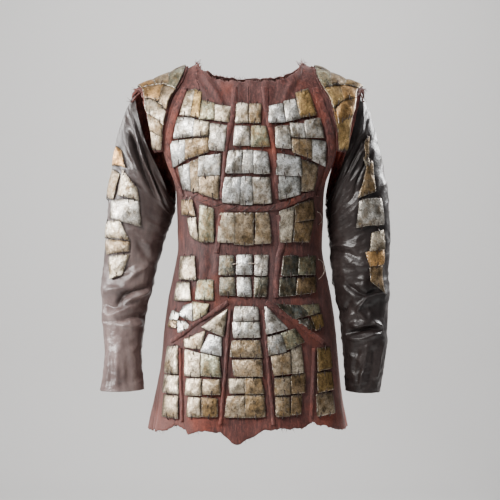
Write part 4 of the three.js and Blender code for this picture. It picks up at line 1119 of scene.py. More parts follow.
def makeWelt(name, node, side, hand, middle, path, profile=rollProfile, twist=0.0, seed=0):
    # twist is the length of one wrap of a wrapped roll; a plain roll has none
    surface = torsoSurface(side)
    rows = [(i, *row) for i, row in enumerate(path)]
    xAt, zAt, wideAt = (curveThrough(rows, column) for column in (1, 2, 3))
    fine = np.linspace(0, len(path) - 1, 400)
    run = np.concatenate([[0], np.cumsum(np.hypot(np.diff(xAt(fine)), np.diff(zAt(fine))))])
    steps = max(8, int(run[-1] / weltMake["step"]))
    along = np.linspace(0, run[-1], steps + 1)
    t = np.interp(along, run, fine)
    x, z = middle + hand * xAt(t), zAt(t)
    seat = bodyForm["hideWall"] + weltMake["seat"]
    foot = lifted(surface, x, z, seat + 0 * x)
    rise = lifted(surface, x, z, seat + 1 + 0 * x) - foot
    tangent = np.gradient(foot, axis=0)
    tangent /= np.linalg.norm(tangent, axis=1, keepdims=True)
    across = np.cross(rise, tangent)
    across /= np.linalg.norm(across, axis=1, keepdims=True)
    w = np.sin(np.linspace(-math.pi / 2, math.pi / 2, weltMake["round"] + 1))
    body = flatPlaces(along[:, None] + 0 * w, 9.0 * w[None, :] + 0 * along[:, None] + 40 * seed)
    wide = wideAt(t)
    half = wide[:, None] / 2 * (1 + 0.16 * lumps(body, 13, 71 + seed) + 0.08 * lumps(body, 4, 74 + seed))
    high = (weltMake["height"] - weltMake["seat"]) * profile(w)[None, :]
    high = high * (1 + 0.22 * lumps(body, 11, 72 + seed))
    high = high + weltMake["lump"] * lumps(body, 4.5, 73 + seed) * (1 - w[None, :] ** 6)
    if twist:
        wrap = np.sin((along[:, None] + 6 * w[None, :]) / twist * 2 * math.pi)
        high = high + weltMake["twistRise"] * wrap * (1 - w[None, :] ** 4)
    flat = foot[:, None] + across[:, None] * (w[None, :] * half)[..., None]
    top = flat + rise[:, None] * high[..., None]
    under = flat - rise[:, None] * weltMake["under"]
    points, faces, _ = shellOf(top, under)
    piece = makePiece(name, points, faces, [rolledHide])
    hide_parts(node)
    return wide, along, across, rise, foot


def makeStitches(name, welt, spacing, reach, slant, width, seed):
    # short thongs over the welt, one every spacing millimetres; reach is their share of its width
    wide, along, across, rise, foot = welt
    draw = random.Random(seed)
    points, faces = [], []
    at = spacing * 0.6
    while at < along[-1] - spacing * 0.4:
        i = int(np.searchsorted(along, at))
        lean = slant + draw.uniform(-0.25, 0.25)
        tangent = foot[min(i + 1, len(foot) - 1)] - foot[max(i - 1, 0)]
        tangent /= np.linalg.norm(tangent)
        path = []
        for k in range(7):
            w = -1 + 2 * k / 6
            up = weltMake["height"] * math.sqrt(max(0, 1 - abs(w) ** 2.4)) * 0.98 + 0.25
            place = foot[i] + across[i] * w * wide[i] / 2 * reach + rise[i] * up
            path.append(place + tangent * w * lean * wide[i] / 2)
        addThong(points, faces, path, width)
        at += spacing * draw.uniform(0.8, 1.2)
    makePiece(name, points, faces, [lacingThong])


def addThong(points, faces, path, width, sides=6):
    # a round strip along a path of points
    path = np.array(path, float)
    tangent = np.gradient(path, axis=0)
    tangent /= np.maximum(np.linalg.norm(tangent, axis=1, keepdims=True), 1e-9)
    guide = np.array([0.0, -1.0, 0.0]) if abs(tangent[0][1]) < 0.8 else np.array([0.0, 0.0, 1.0])
    start = len(points)
    for i in range(len(path)):
        side = np.cross(tangent[i], guide)
        side /= max(np.linalg.norm(side), 1e-9)
        up = np.cross(side, tangent[i])
        for k in range(sides):
            turn = 2 * math.pi * k / sides
            points.append(path[i] + (side * math.cos(turn) + up * math.sin(turn) * 0.7) * width / 2)
    for i in range(len(path) - 1):
        for k in range(sides):
            a, b = start + i * sides + k, start + i * sides + (k + 1) % sides
            faces.append((a, b, b + sides, a + sides))
    faces.append(tuple(start + k for k in reversed(range(sides))))
    faces.append(tuple(start + (len(path) - 1) * sides + k for k in range(sides)))


skirtMiddle = bodyForm["skirtMiddle"]
weltPlan = [  # piece, node, front (-1) or back (1), middle, path on the right and on the left, profile
    ("chest_piping", "piping", -1, 0, ("piping", "piping"), doubleProfile),
    ("chest_welt", "welt_upper", -1, 0, ("upper", "upper"), rollProfile),
    ("waist_welt", "welt_lower", -1, 0, ("lowerRight", "lowerLeft"), rollProfile),
    ("hip_welt", "welt_hip", -1, skirtMiddle, ("hip", "hip"), rollProfile),
    ("skirt_welt", "welt_skirt", -1, skirtMiddle, ("skirt", "skirt"), rollProfile),
    ("outer_welt", "welt_outer", -1, skirtMiddle, ("outer", "outer"), rollProfile),
    ("back_welt", "welt_back", 1, 0, ("back", "back"), rollProfile),
]
hands = {"right": -1, "left": 1}
weltSeed = {"right": 2, "left": 12}
band = makeWelt("under_chest_roll", "band_under_chest", -1, 1, 0, weltPaths["band"], twist=15, seed=1)
welts = {}
for word, hand in hands.items():
    for number, (piece, node, side, middle, paths, profile) in enumerate(weltPlan):
        path = weltPaths[paths[0] if hand < 0 else paths[1]]
        welts[f"{piece}_{word}"] = makeWelt(f"{piece}_{word}", f"{node}_{word}", side, hand, middle, path,
                                            profile, seed=weltSeed[word] + number)
print("welts are rolled")


# plates
plateMake = {
    "across": 14,            # mesh of one plate
    "down": 12,
    "gather": 0.86,          # how far the mesh gathers near the edges
    "thick": 1.1,
    "topSeat": 2.2,          # height of the upper and lower edges over the leather
    "footSeat": 4.6,
    "usual": 26,             # width of a usual plate; a smaller one is flatter
    "dome": 3.4,
    "roll": 0.5,             # how far the edges turn down
    "dent": 0.6,
    "wander": 0.8,           # how far the corners stray
    "widen": 1.9,            # how far each side stands out past its drawn corners
    "corner": 0.035,         # how round the corners are
    "raggedness": 0.5,
}
tieMake = {
    "width": 1.8,
    "inset": 6.4,            # hole to the plate's edge
    "over": 3.0,             # how far the thong goes past the edge
    "hole": 3.5,
    "end": 0.8,              # its end over the leather
    "pairFrom": 38,          # a plate this wide has two at each edge
    "lost": 0.12,            # share of the ties that are missing
}
tints = {  # colour and how much of it is stained
    "pale": ((0.76, 0.74, 0.69), 0.4),
    "white": ((0.96, 0.94, 0.90), 0.18),
    "cream": ((0.74, 0.64, 0.50), 0.5),
    "tan": ((0.47, 0.37, 0.26), 0.8),
    "ochre": ((0.54, 0.35, 0.14), 0.9),
    "orange": ((0.70, 0.39, 0.15), 0.8),
    "brown": ((0.29, 0.21, 0.13), 0.9),
    "green": ((0.42, 0.41, 0.29), 0.8),
    "grey": ((0.17, 0.18, 0.16), 0.45),
    "dark": ((0.13, 0.135, 0.115), 0.35),
}
# corners of each plate as seen from the front, in x and z: upper left, upper right, lower right, lower left
frontPlates = {
    "breast_left_side": ("plates_breast_left", [
        ((37, -91), (63, -84), (68, -119), (37, -120), "white"),
        ((66, -80), (88, -75), (96, -112), (70, -118), "pale"),
        ((90, -64), (112, -54), (129, -104), (99, -111), "ochre"),
        ((49, -129), (76, -128), (79, -170), (51, -168), "pale"),
        ((79, -122), (104, -125), (106, -149), (81, -147), "pale"),
        ((107, -118), (136, -112), (142, -146), (109, -148), "pale"),
        ((82, -153), (118, -154), (118, -189), (82, -177), "tan"),
        ((120, -154), (147, -157), (144, -202), (120, -190), "white"),
        ((52, -182), (96, -188), (98, -221), (52, -221), "white"),
        ((101, -193), (131, -203), (121, -248), (99, -251), "tan"),
        ((54, -226), (96, -226), (95, -257), (57, -269), "pale"),
    ]),
    "breast_right_side": ("plates_breast_right", [
        ((-68, -87), (-38, -91), (-41, -120), (-69, -116), "cream"),
        ((-92, -77), (-70, -84), (-70, -115), (-97, -112), "green"),
        ((-122, -58), (-109, -54), (-117, -107), (-135, -104), "cream"),
        ((-107, -54), (-96, -61), (-99, -110), (-115, -107), "ochre"),
        ((-77, -124), (-45, -129), (-50, -175), (-78, -172), "pale"),
        ((-108, -116), (-80, -122), (-80, -146), (-107, -144), "cream"),
        ((-141, -110), (-110, -114), (-109, -145), (-147, -149), "white"),
        ((-153, -157), (-127, -154), (-126, -190), (-147, -202), "white"),
        ((-125, -154), (-80, -151), (-80, -176), (-125, -189), "tan"),
        ((-97, -188), (-57, -182), (-59, -221), (-98, -222), "pale"),
        ((-138, -205), (-117, -198), (-113, -251), (-127, -246), "white"),
        ((-115, -197), (-100, -191), (-99, -253), (-111, -251), "tan"),
        ((-97, -226), (-59, -225), (-62, -268), (-95, -256), "tan"),
    ]),
    "breast_middle": ("plates_breast_centre", [
        ((-26, -84), (-4, -84), (-4, -121), (-27, -121), "cream"),
        ((0, -86), (20, -86), (19, -121), (0, -121), "tan"),
        ((-28, -129), (-2, -129), (0, -165), (-31, -166), "pale"),
        ((3, -129), (30, -130), (37, -168), (3, -168), "green"),
        ((-40, -178), (-15, -177), (-17, -218), (-45, -218), "white"),
        ((-13, -177), (6, -177), (6, -218), (-15, -218), "pale"),
        ((9, -178), (33, -179), (37, -219), (8, -219), "white"),
        ((-49, -228), (-18, -228), (-20, -276), (-52, -274), "white"),
        ((-16, -228), (4, -228), (6, -278), (-18, -278), "white"),
        ((7, -228), (37, -229), (40, -274), (8, -276), "pale"),
    ]),
    "rib_middle": ("plates_rib_centre", [
        ((-56, -297), (-29, -297), (-31, -353), (-60, -352), "cream"),
        ((-27, -297), (7, -297), (5, -358), (-29, -357), "tan"),
        ((11, -297), (35, -297), (40, -355), (11, -356), "tan"),
    ]),
    "rib_left_side": ("plates_rib_left", [
        ((58, -294), (85, -283), (79, -352), (58, -352), "cream"),
        ((88, -281), (120, -270), (123, -306), (88, -311), "brown"),
        ((88, -314), (122, -310), (112, -351), (83, -352), "brown"),
    ]),
    "rib_right_side": ("plates_rib_right", [
        ((-96, -281), (-71, -290), (-70, -352), (-96, -351), "green"),
        ((-121, -306), (-106, -304), (-99, -350), (-112, -343), "cream"),
        ((-132, -270), (-112, -270), (-105, -301), (-130, -298), "tan"),
    ]),
    "waist_middle": ("plates_waist_centre", [
        ((-58, -382), (-32, -381), (-30, -418), (-58, -418), "grey"),
        ((-24, -380), (3, -379), (3, -417), (-25, -417), "white"),
        ((10, -380), (35, -380), (32, -418), (9, -418), "white"),
        ((-57, -424), (-31, -424), (-30, -457), (-56, -457), "grey"),
        ((-23, -424), (1, -424), (2, -459), (-22, -459), "pale"),
        ((9, -424), (35, -423), (30, -459), (8, -459), "grey"),
    ]),
    "waist_left_side": ("plates_waist_left", [
        ((66, -382), (92, -381), (91, -418), (62, -419), "dark"),
        ((96, -385), (127, -382), (123, -418), (94, -418), "green"),
        ((60, -426), (88, -425), (87, -457), (57, -459), "dark"),
        ((93, -426), (127, -425), (124, -452), (89, -457), "brown"),
    ]),
    "waist_right_outer": ("plates_waist_side", [
        ((-134, -384), (-108, -383), (-103, -428), (-137, -427), "cream"),
    ]),
    "waist_right_side": ("plates_waist_right", [
        ((-100, -429), (-71, -430), (-70, -467), (-105, -465), "green"),
        ((-141, -435), (-118, -434), (-113, -468), (-145, -470), "cream"),
    ]),
    "skirt_middle": ("plates_skirt_centre", [
        ((-28, -480), (14, -481), (16, -505), (-31, -506), "white"),
        ((-31, -511), (17, -510), (19, -538), (-30, -539), "white"),
        ((-33, -545), (19, -545), (22, -576), (-37, -576), "tan"),
        ((-34, -583), (22, -582), (24, -613), (-30, -613), "tan"),
        ((-40, -619), (-11, -619), (-11, -645), (-38, -645), "cream"),
        ((-8, -618), (22, -619), (26, -646), (-8, -646), "brown"),
        ((-42, -653), (-11, -651), (-9, -691), (-47, -691), "tan"),
        ((-8, -651), (26, -651), (29, -689), (-7, -691), "brown"),
    ]),
    "fan_right": ("plates_fan_right", [
        ((-56, -492), (-45, -484), (-52, -537), (-92, -519), "cream"),
        ((-78, -535), (-55, -542), (-57, -574), (-93, -565), "white"),
        ((-125, -546), (-87, -528), (-94, -562), (-124, -559), "cream"),
        ((-93, -571), (-59, -579), (-55, -614), (-92, -613), "green"),
        ((-125, -565), (-97, -573), (-95, -615), (-124, -613), "cream"),
        ((-88, -621), (-58, -622), (-57, -648), (-88, -648), "tan"),
        ((-121, -621), (-94, -621), (-93, -651), (-121, -651), "cream"),
        ((-90, -657), (-63, -658), (-62, -690), (-90, -690), "brown"),
        ((-116, -657), (-95, -657), (-94, -692), (-118, -692), "cream"),
    ]),
    "fan_left": ("plates_fan_left", [
        ((28, -481), (33, -481), (74, -521), (31, -533), "white"),
        ((33, -540), (57, -533), (69, -564), (37, -572), "pale"),
        ((60, -532), (84, -525), (104, -547), (73, -562), "green"),
        ((41, -577), (76, -568), (77, -607), (48, -612), "tan"),
        ((79, -563), (98, -556), (102, -606), (80, -609), "cream"),
        ((48, -619), (76, -615), (75, -647), (48, -648), "tan"),
        ((80, -615), (105, -611), (104, -646), (80, -647), "brown"),
        ((50, -655), (74, -655), (75, -688), (50, -690), "tan"),
        ((80, -654), (99, -651), (96, -686), (78, -688), "brown"),
    ]),
    "hip_right": ("plates_hip_right", [
        ((-126, -481), (-112, -474), (-110, -509), (-136, -497), "white"),
        ((-110, -474), (-80, -476), (-83, -491), (-107, -508), "green"),
        ((-150, -492), (-138, -498), (-142, -507), (-154, -505), "white"),
        ((-140, -510), (-125, -511), (-114, -520), (-137, -531), "white"),
        ((-157, -510), (-143, -511), (-143, -523), (-157, -522), "tan"),
    ]),
    "hip_left": ("plates_hip_left", [
        ((54, -476), (76, -479), (84, -504), (72, -498), "dark"),
        ((78, -479), (99, -480), (112, -495), (87, -504), "grey"),
        ((102, -479), (130, -477), (131, -491), (113, -498), "green"),
        ((88, -509), (107, -504), (108, -516), (103, -520), "pale"),
        ((110, -507), (117, -507), (124, -523), (108, -523), "grey"),
        ((119, -500), (137, -497), (140, -519), (128, -526), "ochre"),
    ]),
    "outer_right": ("plates_outer_right", [
        ((-161, -562), (-140, -559), (-138, -611), (-164, -612), "cream"),
        ((-164, -617), (-138, -618), (-137, -651), (-165, -651), "cream"),
        ((-165, -657), (-138, -657), (-137, -697), (-166, -698), "tan"),
    ]),
    "outer_left": ("plates_outer_left", [
        ((131, -564), (155, -563), (158, -602), (131, -606), "ochre"),
        ((131, -612), (157, -611), (159, -644), (131, -647), "ochre"),
        ((130, -653), (158, -651), (161, -690), (130, -692), "tan"),
    ]),
}


def gathered(count):
    # steps from -1 to 1 that gather near the edges, so the rolled rim is round
    steps = np.linspace(-1, 1, count + 1)
    return np.sin(steps * math.pi / 2 * plateMake["gather"]) / math.sin(math.pi / 2 * plateMake["gather"])


def onPlate(corners, a, b):
    place = []
    for k in (0, 1):
        upper = corners[0][k] * (1 - a) + corners[1][k] * a
        lower = corners[3][k] * (1 - a) + corners[2][k] * a
        place.append(upper * (1 - b) + lower * b)
    return place


def spanOf(surface, corners):
    # millimetres across and down a plate
    upper = lifted(surface, *np.array(corners[:2]).T, 0)
    lower = lifted(surface, *np.array(corners[2:]).T, 0)
    wide = (np.linalg.norm(upper[1] - upper[0]) + np.linalg.norm(lower[1] - lower[0])) / 2
    tall = (np.linalg.norm(lower[1] - upper[0]) + np.linalg.norm(lower[0] - upper[1])) / 2
    return wide, tall


def edgeRing(rows, columns):
    # the places round the edge of a grid, once round
    ring = [(0, j) for j in range(columns)]
    ring += [(i, columns - 1) for i in range(1, rows)]
    ring += [(rows - 1, j) for j in range(columns - 2, -1, -1)]
    ring += [(i, 0) for i in range(rows - 2, 0, -1)]
    return ring


def tintPlates(mesh, colours, maps):
    # the tint of each point and its place on its own plate, from -1 to 1, for the finish
    tintLayer = mesh.color_attributes.new("plateTint", "FLOAT_COLOR", "POINT")
    tintLayer.data.foreach_set("color", np.array(colours).ravel())
    mapLayer = mesh.uv_layers.new(name="plateMap")
    pointOf = np.empty(len(mesh.loops), np.int32)
    mesh.loops.foreach_get("vertex_index", pointOf)
    mapLayer.data.foreach_set("uv", np.array(maps)[pointOf].ravel())


def makePlates(name, node, surface, leather, plates, seed):
    # leather is how far the top of the leather lies over the surface
    draw = random.Random(seed)
    u, v = np.meshgrid(gathered(plateMake["across"]), gathered(plateMake["down"]))
    rows, columns = u.shape
    ring = edgeRing(rows, columns)
    points, faces, colours, maps, ties = [], [], [], [], []
    for n, plate in enumerate(plates):
        corners = np.array(plate[:4], float)
        tint, stained = tints[plate[4]]
        wide, tall = spanOf(surface, corners)
        perMm = np.abs(corners[1] - corners[0]) / wide + np.abs(corners[3] - corners[0]) / tall
        nudge = np.array([[draw.uniform(-1, 1), draw.uniform(-1, 1)] for _ in range(4)])
        spread = np.sign(corners - corners.mean(axis=0)) * plateMake["widen"]
        corners = corners + (nudge * plateMake["wander"] + spread) * perMm
        small = min(wide, tall)
        local = flatPlaces(u * wide / 2 + 97 * n, v * tall / 2 + 31 * n)
        rounding = plateMake["corner"] * plateMake["usual"] / max(small, 10)
        ragged = lumps(local, 9, 80 + seed) * plateMake["raggedness"]
        a = u * (1 - rounding * np.abs(v) ** 10) + ragged / wide * np.abs(u) ** 5 * np.sign(u) * 1.6
        b = v * (1 - rounding * np.abs(u) ** 10) + ragged / tall * np.abs(v) ** 5 * np.sign(v) * 1.6
        a, b = (a + 1) / 2, (b + 1) / 2
        place = onPlate(corners, a, b)
        dome = plateMake["dome"] * min(1.0, small / plateMake["usual"]) ** 1.6 * draw.uniform(0.6, 1.25)
        tilt = draw.uniform(-0.5, 0.5)
        high = plateMake["topSeat"] + (plateMake["footSeat"] - plateMake["topSeat"]) * b
        high = high + dome * np.sqrt(np.clip(1 - 0.85 * u ** 2, 0, 1)) * (1 - 0.6 * v ** 2)
        dents = lumps(local, 11, 81 + seed) + 0.5 * lumps(local, 4.5, 82 + seed)
        high = high + tilt * u + plateMake["dent"] * dents
        high = high - plateMake["roll"] * np.maximum(np.abs(u), np.abs(v)) ** 12
        outer = lifted(surface, place[0], place[1], leather + high)
        inner = lifted(surface, place[0], place[1], leather + high - plateMake["thick"])
        start, first = len(points), len(faces)
        points.extend(outer.reshape(-1, 3))
        points.extend(inner[i, j] for i, j in ring)
        faces += gridFaces(rows, columns, start)
        rim = start + rows * columns
        for k, (i, j) in enumerate(ring):
            nextK = (k + 1) % len(ring)
            i2, j2 = ring[nextK]
            faces.append((start + i * columns + j, rim + k, rim + nextK, start + i2 * columns + j2))
        corner = outer[0, 0]
        facing = np.cross(outer[1, 0] - corner, outer[0, 1] - corner) @ (corner - inner[0, 0])
        if facing > 0:
            faces[first:] = [tuple(reversed(face)) for face in faces[first:]]
        shade = draw.uniform(0.8, 1.12)
        warm = draw.uniform(-0.04, 0.04)
        colour = np.clip(np.array(tint) * shade * (1 + np.array([warm, 0, -warm])), 0, 1)
        colour = np.append(colour, np.clip(stained * draw.uniform(0.6, 1.5), 0, 1))
        colours += [colour] * (rows * columns + len(ring))
        maps.extend(np.stack([u, v], axis=-1).reshape(-1, 2))
        maps.extend((u[i, j] * 1.05, v[i, j] * 1.05) for i, j in ring)
        ties.append((corners, wide, tall, high, leather))
    piece = makePiece(name, points, faces, [silverPlate], shell=False)
    tintPlates(piece.data, colours, maps)
    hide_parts(node)
    makeTies(name + "_lacing", surface, ties, seed)


# how far along a thong and how far over its plate
thongRise = [(0, -0.6), (0.12, 0.45), (0.35, 0.75), (0.62, 0.7), (0.82, 0.3), (1, None)]


def makeTies(name, surface, ties, seed):
    # a hole as a disc of painted shade, and a short thong, at the middle of each plate's upper and lower
    # edge
    draw = random.Random(seed + 500)
    points, faces, indices = [], [], []
    for corners, wide, tall, high, leather in ties:
        rows, columns = high.shape

        def spot(a, b, up):
            # up is over the plate, and None is the end of a thong, on the leather
            row = int(round(np.clip(b, 0, 1) * (rows - 1)))
            column = int(round(np.clip(a, 0, 1) * (columns - 1)))
            over = leather + tieMake["end"] if up is None else leather + high[row, column] + up
            return lifted(surface, *onPlate(corners, a, b), over)

        count = 2 if wide > tieMake["pairFrom"] else 1
        for edge in (0, 1):
            for k in range(count):
                if draw.random() < tieMake["lost"]:
                    continue
                a = (k + 0.5) / count + draw.uniform(-0.1, 0.1)
                inset = min(0.3, (tieMake["inset"] + draw.uniform(-0.8, 1.2)) / tall)
                over = (tieMake["over"] + draw.uniform(0, 1.4)) / tall
                lean = draw.uniform(-2.6, 2.6) / wide
                path = []
                for share, up in thongRise:
                    along = inset - (inset + over) * share
                    path.append(spot(a + lean * share, along if edge == 0 else 1 - along, up))
                before = len(faces)
                addThong(points, faces, path, tieMake["width"] + draw.uniform(-0.15, 0.3))
                indices += [0] * (len(faces) - before)
                b = inset if edge == 0 else 1 - inset
                addHole(points, faces, spot(a, b, 0.12), spot(a, b, 1.12))
                indices.append(1)
    makePiece(name, points, faces, [lacingThong, paintedShade], indices=indices)


# a flat disc of painted shade where a lacing hole is
def addHole(points, faces, middle, above):
    out = above - middle
    side = np.cross(out, (0, 0, 1))
    side /= max(np.linalg.norm(side), 1e-9)
    rise = np.cross(side, out)
    start = len(points)
    for k in range(8):
        turn = math.pi * k / 4
        points.append(middle + (side * math.cos(turn) + rise * math.sin(turn)) * tieMake["hole"] / 2)
    faces.append(tuple(start + k for k in range(8)))


front = torsoSurface(-1)
back = torsoSurface(1)
for number, (name, (node, plates)) in enumerate(frontPlates.items()):
    makePlates(f"{name}_plates", node, front, bodyForm["hideWall"], plates, number)
print("front plates are laced on")


def fieldPlates(surface, lines, shades, seed, gap=(1.6, 2.2)):
    # plates between the lines of a field; a line is its outer place, its inner place and where the plates
    # below it part
    draw = random.Random(seed)
    plates = []
    for (outer, inner, parts), (nextOuter, nextInner, _) in zip(lines, lines[1:]):
        outer, inner = np.array(outer, float), np.array(inner, float)
        nextOuter, nextInner = np.array(nextOuter, float), np.array(nextInner, float)
        wide, tall = spanOf(surface, (outer, inner, nextInner, nextOuter))
        if isinstance(parts, int):
            parts = [k / parts for k in range(parts + 1)]
        sideGap, rowGap = gap[0] / 2 / wide, gap[1] / 2 / tall
        for t0, t1 in zip(parts, parts[1:]):
            near, far = t0 + sideGap, t1 - sideGap
            corners = []
            for t, share in ((near, rowGap), (far, rowGap), (far, 1 - rowGap), (near, 1 - rowGap)):
                high = outer + (inner - outer) * t
                low = nextOuter + (nextInner - nextOuter) * t
                corners.append(tuple(high + (low - high) * share))
            plates.append((*corners, draw.choice(shades)))
    return plates


def mirrored(plates, hand):
    # plates are drawn for the left side
    if hand > 0:
        return plates
    return [tuple((-x, z) for x, z in plate[:4]) + plate[4:] for plate in plates]


backShades = ("grey", "pale", "green", "tan", "grey", "cream", "brown")
backMiddle = [  # half width, height, plates below
    (48, -54, 3), (51, -100, 3), (52, -150, 3), (52, -205, 3), (51, -265, 2), (47, -325, 2), (47, -385, 2),
    (49, -445, 2), (53, -510, 2), (58, -575, 3), (62, -640, 3), (65, -702, 0),
]
backSide = [  # outer x, inner x, height, plates below
    (112, 70, -52, 2), (136, 71, -100, 3), (148, 71, -150, 3), (140, 71, -205, 3), (122, 69, -265, 2),
    (122, 65, -325, 2), (124, 65, -385, 2), (132, 68, -445, 3), (142, 73, -510, 3), (148, 78, -575, 3),
    (152, 82, -640, 3), (154, 85, -702, 0),
]
middleLines = [((-half, z), (half, z), count) for half, z, count in backMiddle]
plates = fieldPlates(back, middleLines, backShades, 41)
makePlates("back_middle_plates", "plates_back_centre", back, bodyForm["hideWall"], plates, 41)
sideLines = [((outer, z), (inner, z), count) for outer, inner, z, count in backSide]
for word, hand in hands.items():
    seed = 43 + hand
    plates = mirrored(fieldPlates(back, sideLines, backShades, seed), hand)
    makePlates(f"back_{word}_plates", f"plates_back_{word}", back, bodyForm["hideWall"], plates, seed)
print("back plates are laced on")


# plates over the shoulders
capSpan = {"arm": 0.935, "neck": 0.04}   # where the plates end, as shares across the cap
# from the ridge down: share along at the arm side and at the neck side, and where the plates below part
capFront = {
    -1: [
        (0.5, 0.42, (0, 0.32, 0.67, 1)),
        (0.37, 0.25, (0, 0.55, 1)),
        (0.27, 0.16, 1),
        (0.17, 0.1, 1),
        (0.09, 0.055, 1),
        (0.02, 0.015, 0),
    ],
    1: [
        (0.5, 0.42, (0, 0.32, 0.67, 1)),
        (0.37, 0.25, (0, 0.42, 1)),
        (0.27, 0.16, (0, 0.88, 1)),
        (0.16, 0.1, 1),
        (0.02, 0.015, 0),
    ],
}
capBack = [
    (0.5, 0.42, 3), (0.61, 0.58, 3), (0.7, 0.73, 2), (0.8, 0.84, 2), (0.9, 0.925, 1), (0.98, 0.985, 0),
]
capTints = {  # front plates from the ridge down, arm side first
    -1: ("orange", "tan", "green", "orange", "tan", "cream", "tan", "cream"),
    1: ("ochre", "tan", "green", "orange", "ochre", "orange", "orange", "ochre"),
}
capGap = (2.4, 2.6)


def capLines(rows):
    return [((capSpan["arm"], arm), (capSpan["neck"], neck), parts) for arm, neck, parts in rows]


for word, hand in hands.items():
    surface = capSurface(hand)
    plates = fieldPlates(surface, capLines(capFront[hand]), ("tan",), 51 + hand, capGap)
    plates = [(*plate[:4], tint) for plate, tint in zip(plates, capTints[hand])]
    plates += fieldPlates(surface, capLines(capBack), ("grey", "tan", "green", "brown"), 61 + hand, capGap)
    leather = bodyForm["capLift"] + bodyForm["capWall"]
    makePlates(f"cap_{word}_plates", f"plates_cap_{word}", surface, leather, plates, 51 + hand)
print("shoulder plates are laced on")


# plates down the sleeves
# corners as turn round the sleeve and ring down it: outer top, inner top, inner foot, outer foot
sleevePlates = {
    "sleeve_right": [
        ((28, 4.0), (48, 3.85), (61, 4.4), (22, 5.0), "orange"),
        ((18, 5.3), (46, 5.15), (42, 6.7), (10, 6.8), "tan"),
        ((54, 4.75), (86, 5.05), (92, 5.75), (52, 6.3), "cream"),
        ((38, 6.95), (91, 5.9), (101, 7.5), (40, 7.75), "pale"),
        ((15, 8.2), (62, 7.8), (86, 8.7), (25, 9.0), "cream"),
        ((25, 9.15), (86, 8.85), (88, 9.4), (42, 9.95), "tan"),
        ((45, 10.1), (88, 9.7), (78, 11.0), (58, 11.35), "cream"),
    ],
    "sleeve_left": [
        ((53, 4.3), (66, 3.95), (93, 5.4), (60, 5.9), "brown"),
        ((50, 2.7), (60, 2.5), (66, 3.4), (60, 3.7), "brown"),
        ((61, 3.75), (69, 3.4), (69, 3.8), (62, 4.05), "cream"),
        ((48, 6.6), (90, 5.8), (99, 7.35), (47, 7.9), "pale"),
        ((48, 8.3), (72, 8.15), (78, 9.2), (48, 9.3), "cream"),
        ((48, 9.4), (84, 9.25), (76, 10.15), (48, 10.2), "orange"),
        ((48, 10.3), (76, 10.25), (74, 11.1), (47, 11.95), "brown"),
    ],
}
for name, plates in sleevePlates.items():
    surface = sleeveSurface(sleeves[name])
    seed = 71 + sleeves[name]["hand"]
    makePlates(f"{name}_plates", f"plates_{name}", surface, 0, plates, seed)
print("sleeve plates are laced on")


# stitches, seams, ties and frayed edges
strandMake = {
    "neck": 150,             # how many strands there are
    "backNeck": 90,
    "tuft": 26,
    "hem": 95,
    "cap": 70,
    "thick": 1.1,
    "sides": 3,
    "steps": 4,
}


def addStrand(points, faces, root, aim, length, draw, thick):
    # a frayed strand, thinner to its tip
    aim = np.array(aim, float) / np.linalg.norm(aim)
    bend = np.array([draw.uniform(-1, 1), draw.uniform(-1, 1), draw.uniform(-1, 1)]) * 0.55
    side = np.cross(aim, (0.3, 1, 0.2))
    side /= np.linalg.norm(side)
    rise = np.cross(side, aim)
    start, steps, sides = len(points), strandMake["steps"], strandMake["sides"]
    for i in range(steps + 1):
        share = i / steps
        middle = root + (aim * share + bend * share * share) * length
        radius = thick / 2 * (1 - 0.75 * share)
        for k in range(sides):
            turn = 2 * math.pi * k / sides
            points.append(middle + (side * math.cos(turn) + rise * math.sin(turn)) * radius)
    for i in range(steps):
        for k in range(sides):
            a, b = start + i * sides + k, start + i * sides + (k + 1) % sides
            faces.append((a, b, b + sides, a + sides))
    faces.append(tuple(start + steps * sides + k for k in range(sides)))


def makeFray(name, roots, seed):
    # roots: place, aim, length and thickness of each strand
    draw = random.Random(seed)
    points, faces = [], []
    for root, aim, length, thick in roots(draw):
        addStrand(points, faces, root, aim, length, draw, thick)
    makePiece(name, points, faces, [rolledHide], shell=False)


def neckRoots(side, count):
    surface = torsoSurface(side)

    def roots(draw):
        found = []
        for _ in range(count):
            x = draw.uniform(-1, 1) * neckHalf
            depth = bodyForm["hideWall"] * draw.uniform(0.1, 0.9)
            root = lifted(surface, x, neckEdge(side, x) - 0.5, depth)
            aim = (draw.uniform(-0.6, 0.6), side * draw.uniform(-0.2, 0.5), draw.uniform(0.5, 1.2))
            found.append((root, aim, draw.uniform(1.5, 5.5), strandMake["thick"] * draw.uniform(0.6, 1.3)))
        if side < 0:
            for hand in (-1, 1):  # tufts at the corners of the neck
                for _ in range(strandMake["tuft"]):
                    x = hand * (neckHalf + draw.uniform(-9, 4))
                    root = lifted(surface, x, min(neckEdge(side, x), ridgeAt(x)) - 3, bodyForm["hideWall"])
                    aim = (draw.uniform(-0.7, 0.7), draw.uniform(-0.5, 0.3), draw.uniform(0.3, 1))
                    length = draw.uniform(4, 11)
                    found.append((root, aim, length, strandMake["thick"] * draw.uniform(1, 1.9)))
        return found
    return roots


def hemRoots(side):
    surface = torsoSurface(side)

    def roots(draw):
        found = []
        for _ in range(strandMake["hem"]):
            x = draw.uniform(-0.97, 0.97) * 195
            root = lifted(surface, x, hemAt[side](x) + 1.5, bodyForm["hideWall"] * draw.uniform(0.1, 0.9))
            aim = (draw.uniform(-0.4, 0.4), side * draw.uniform(-0.2, 0.3), -1)
            found.append((root, aim, draw.uniform(2, 7), strandMake["thick"] * draw.uniform(0.5, 1.1)))
        return found
    return roots


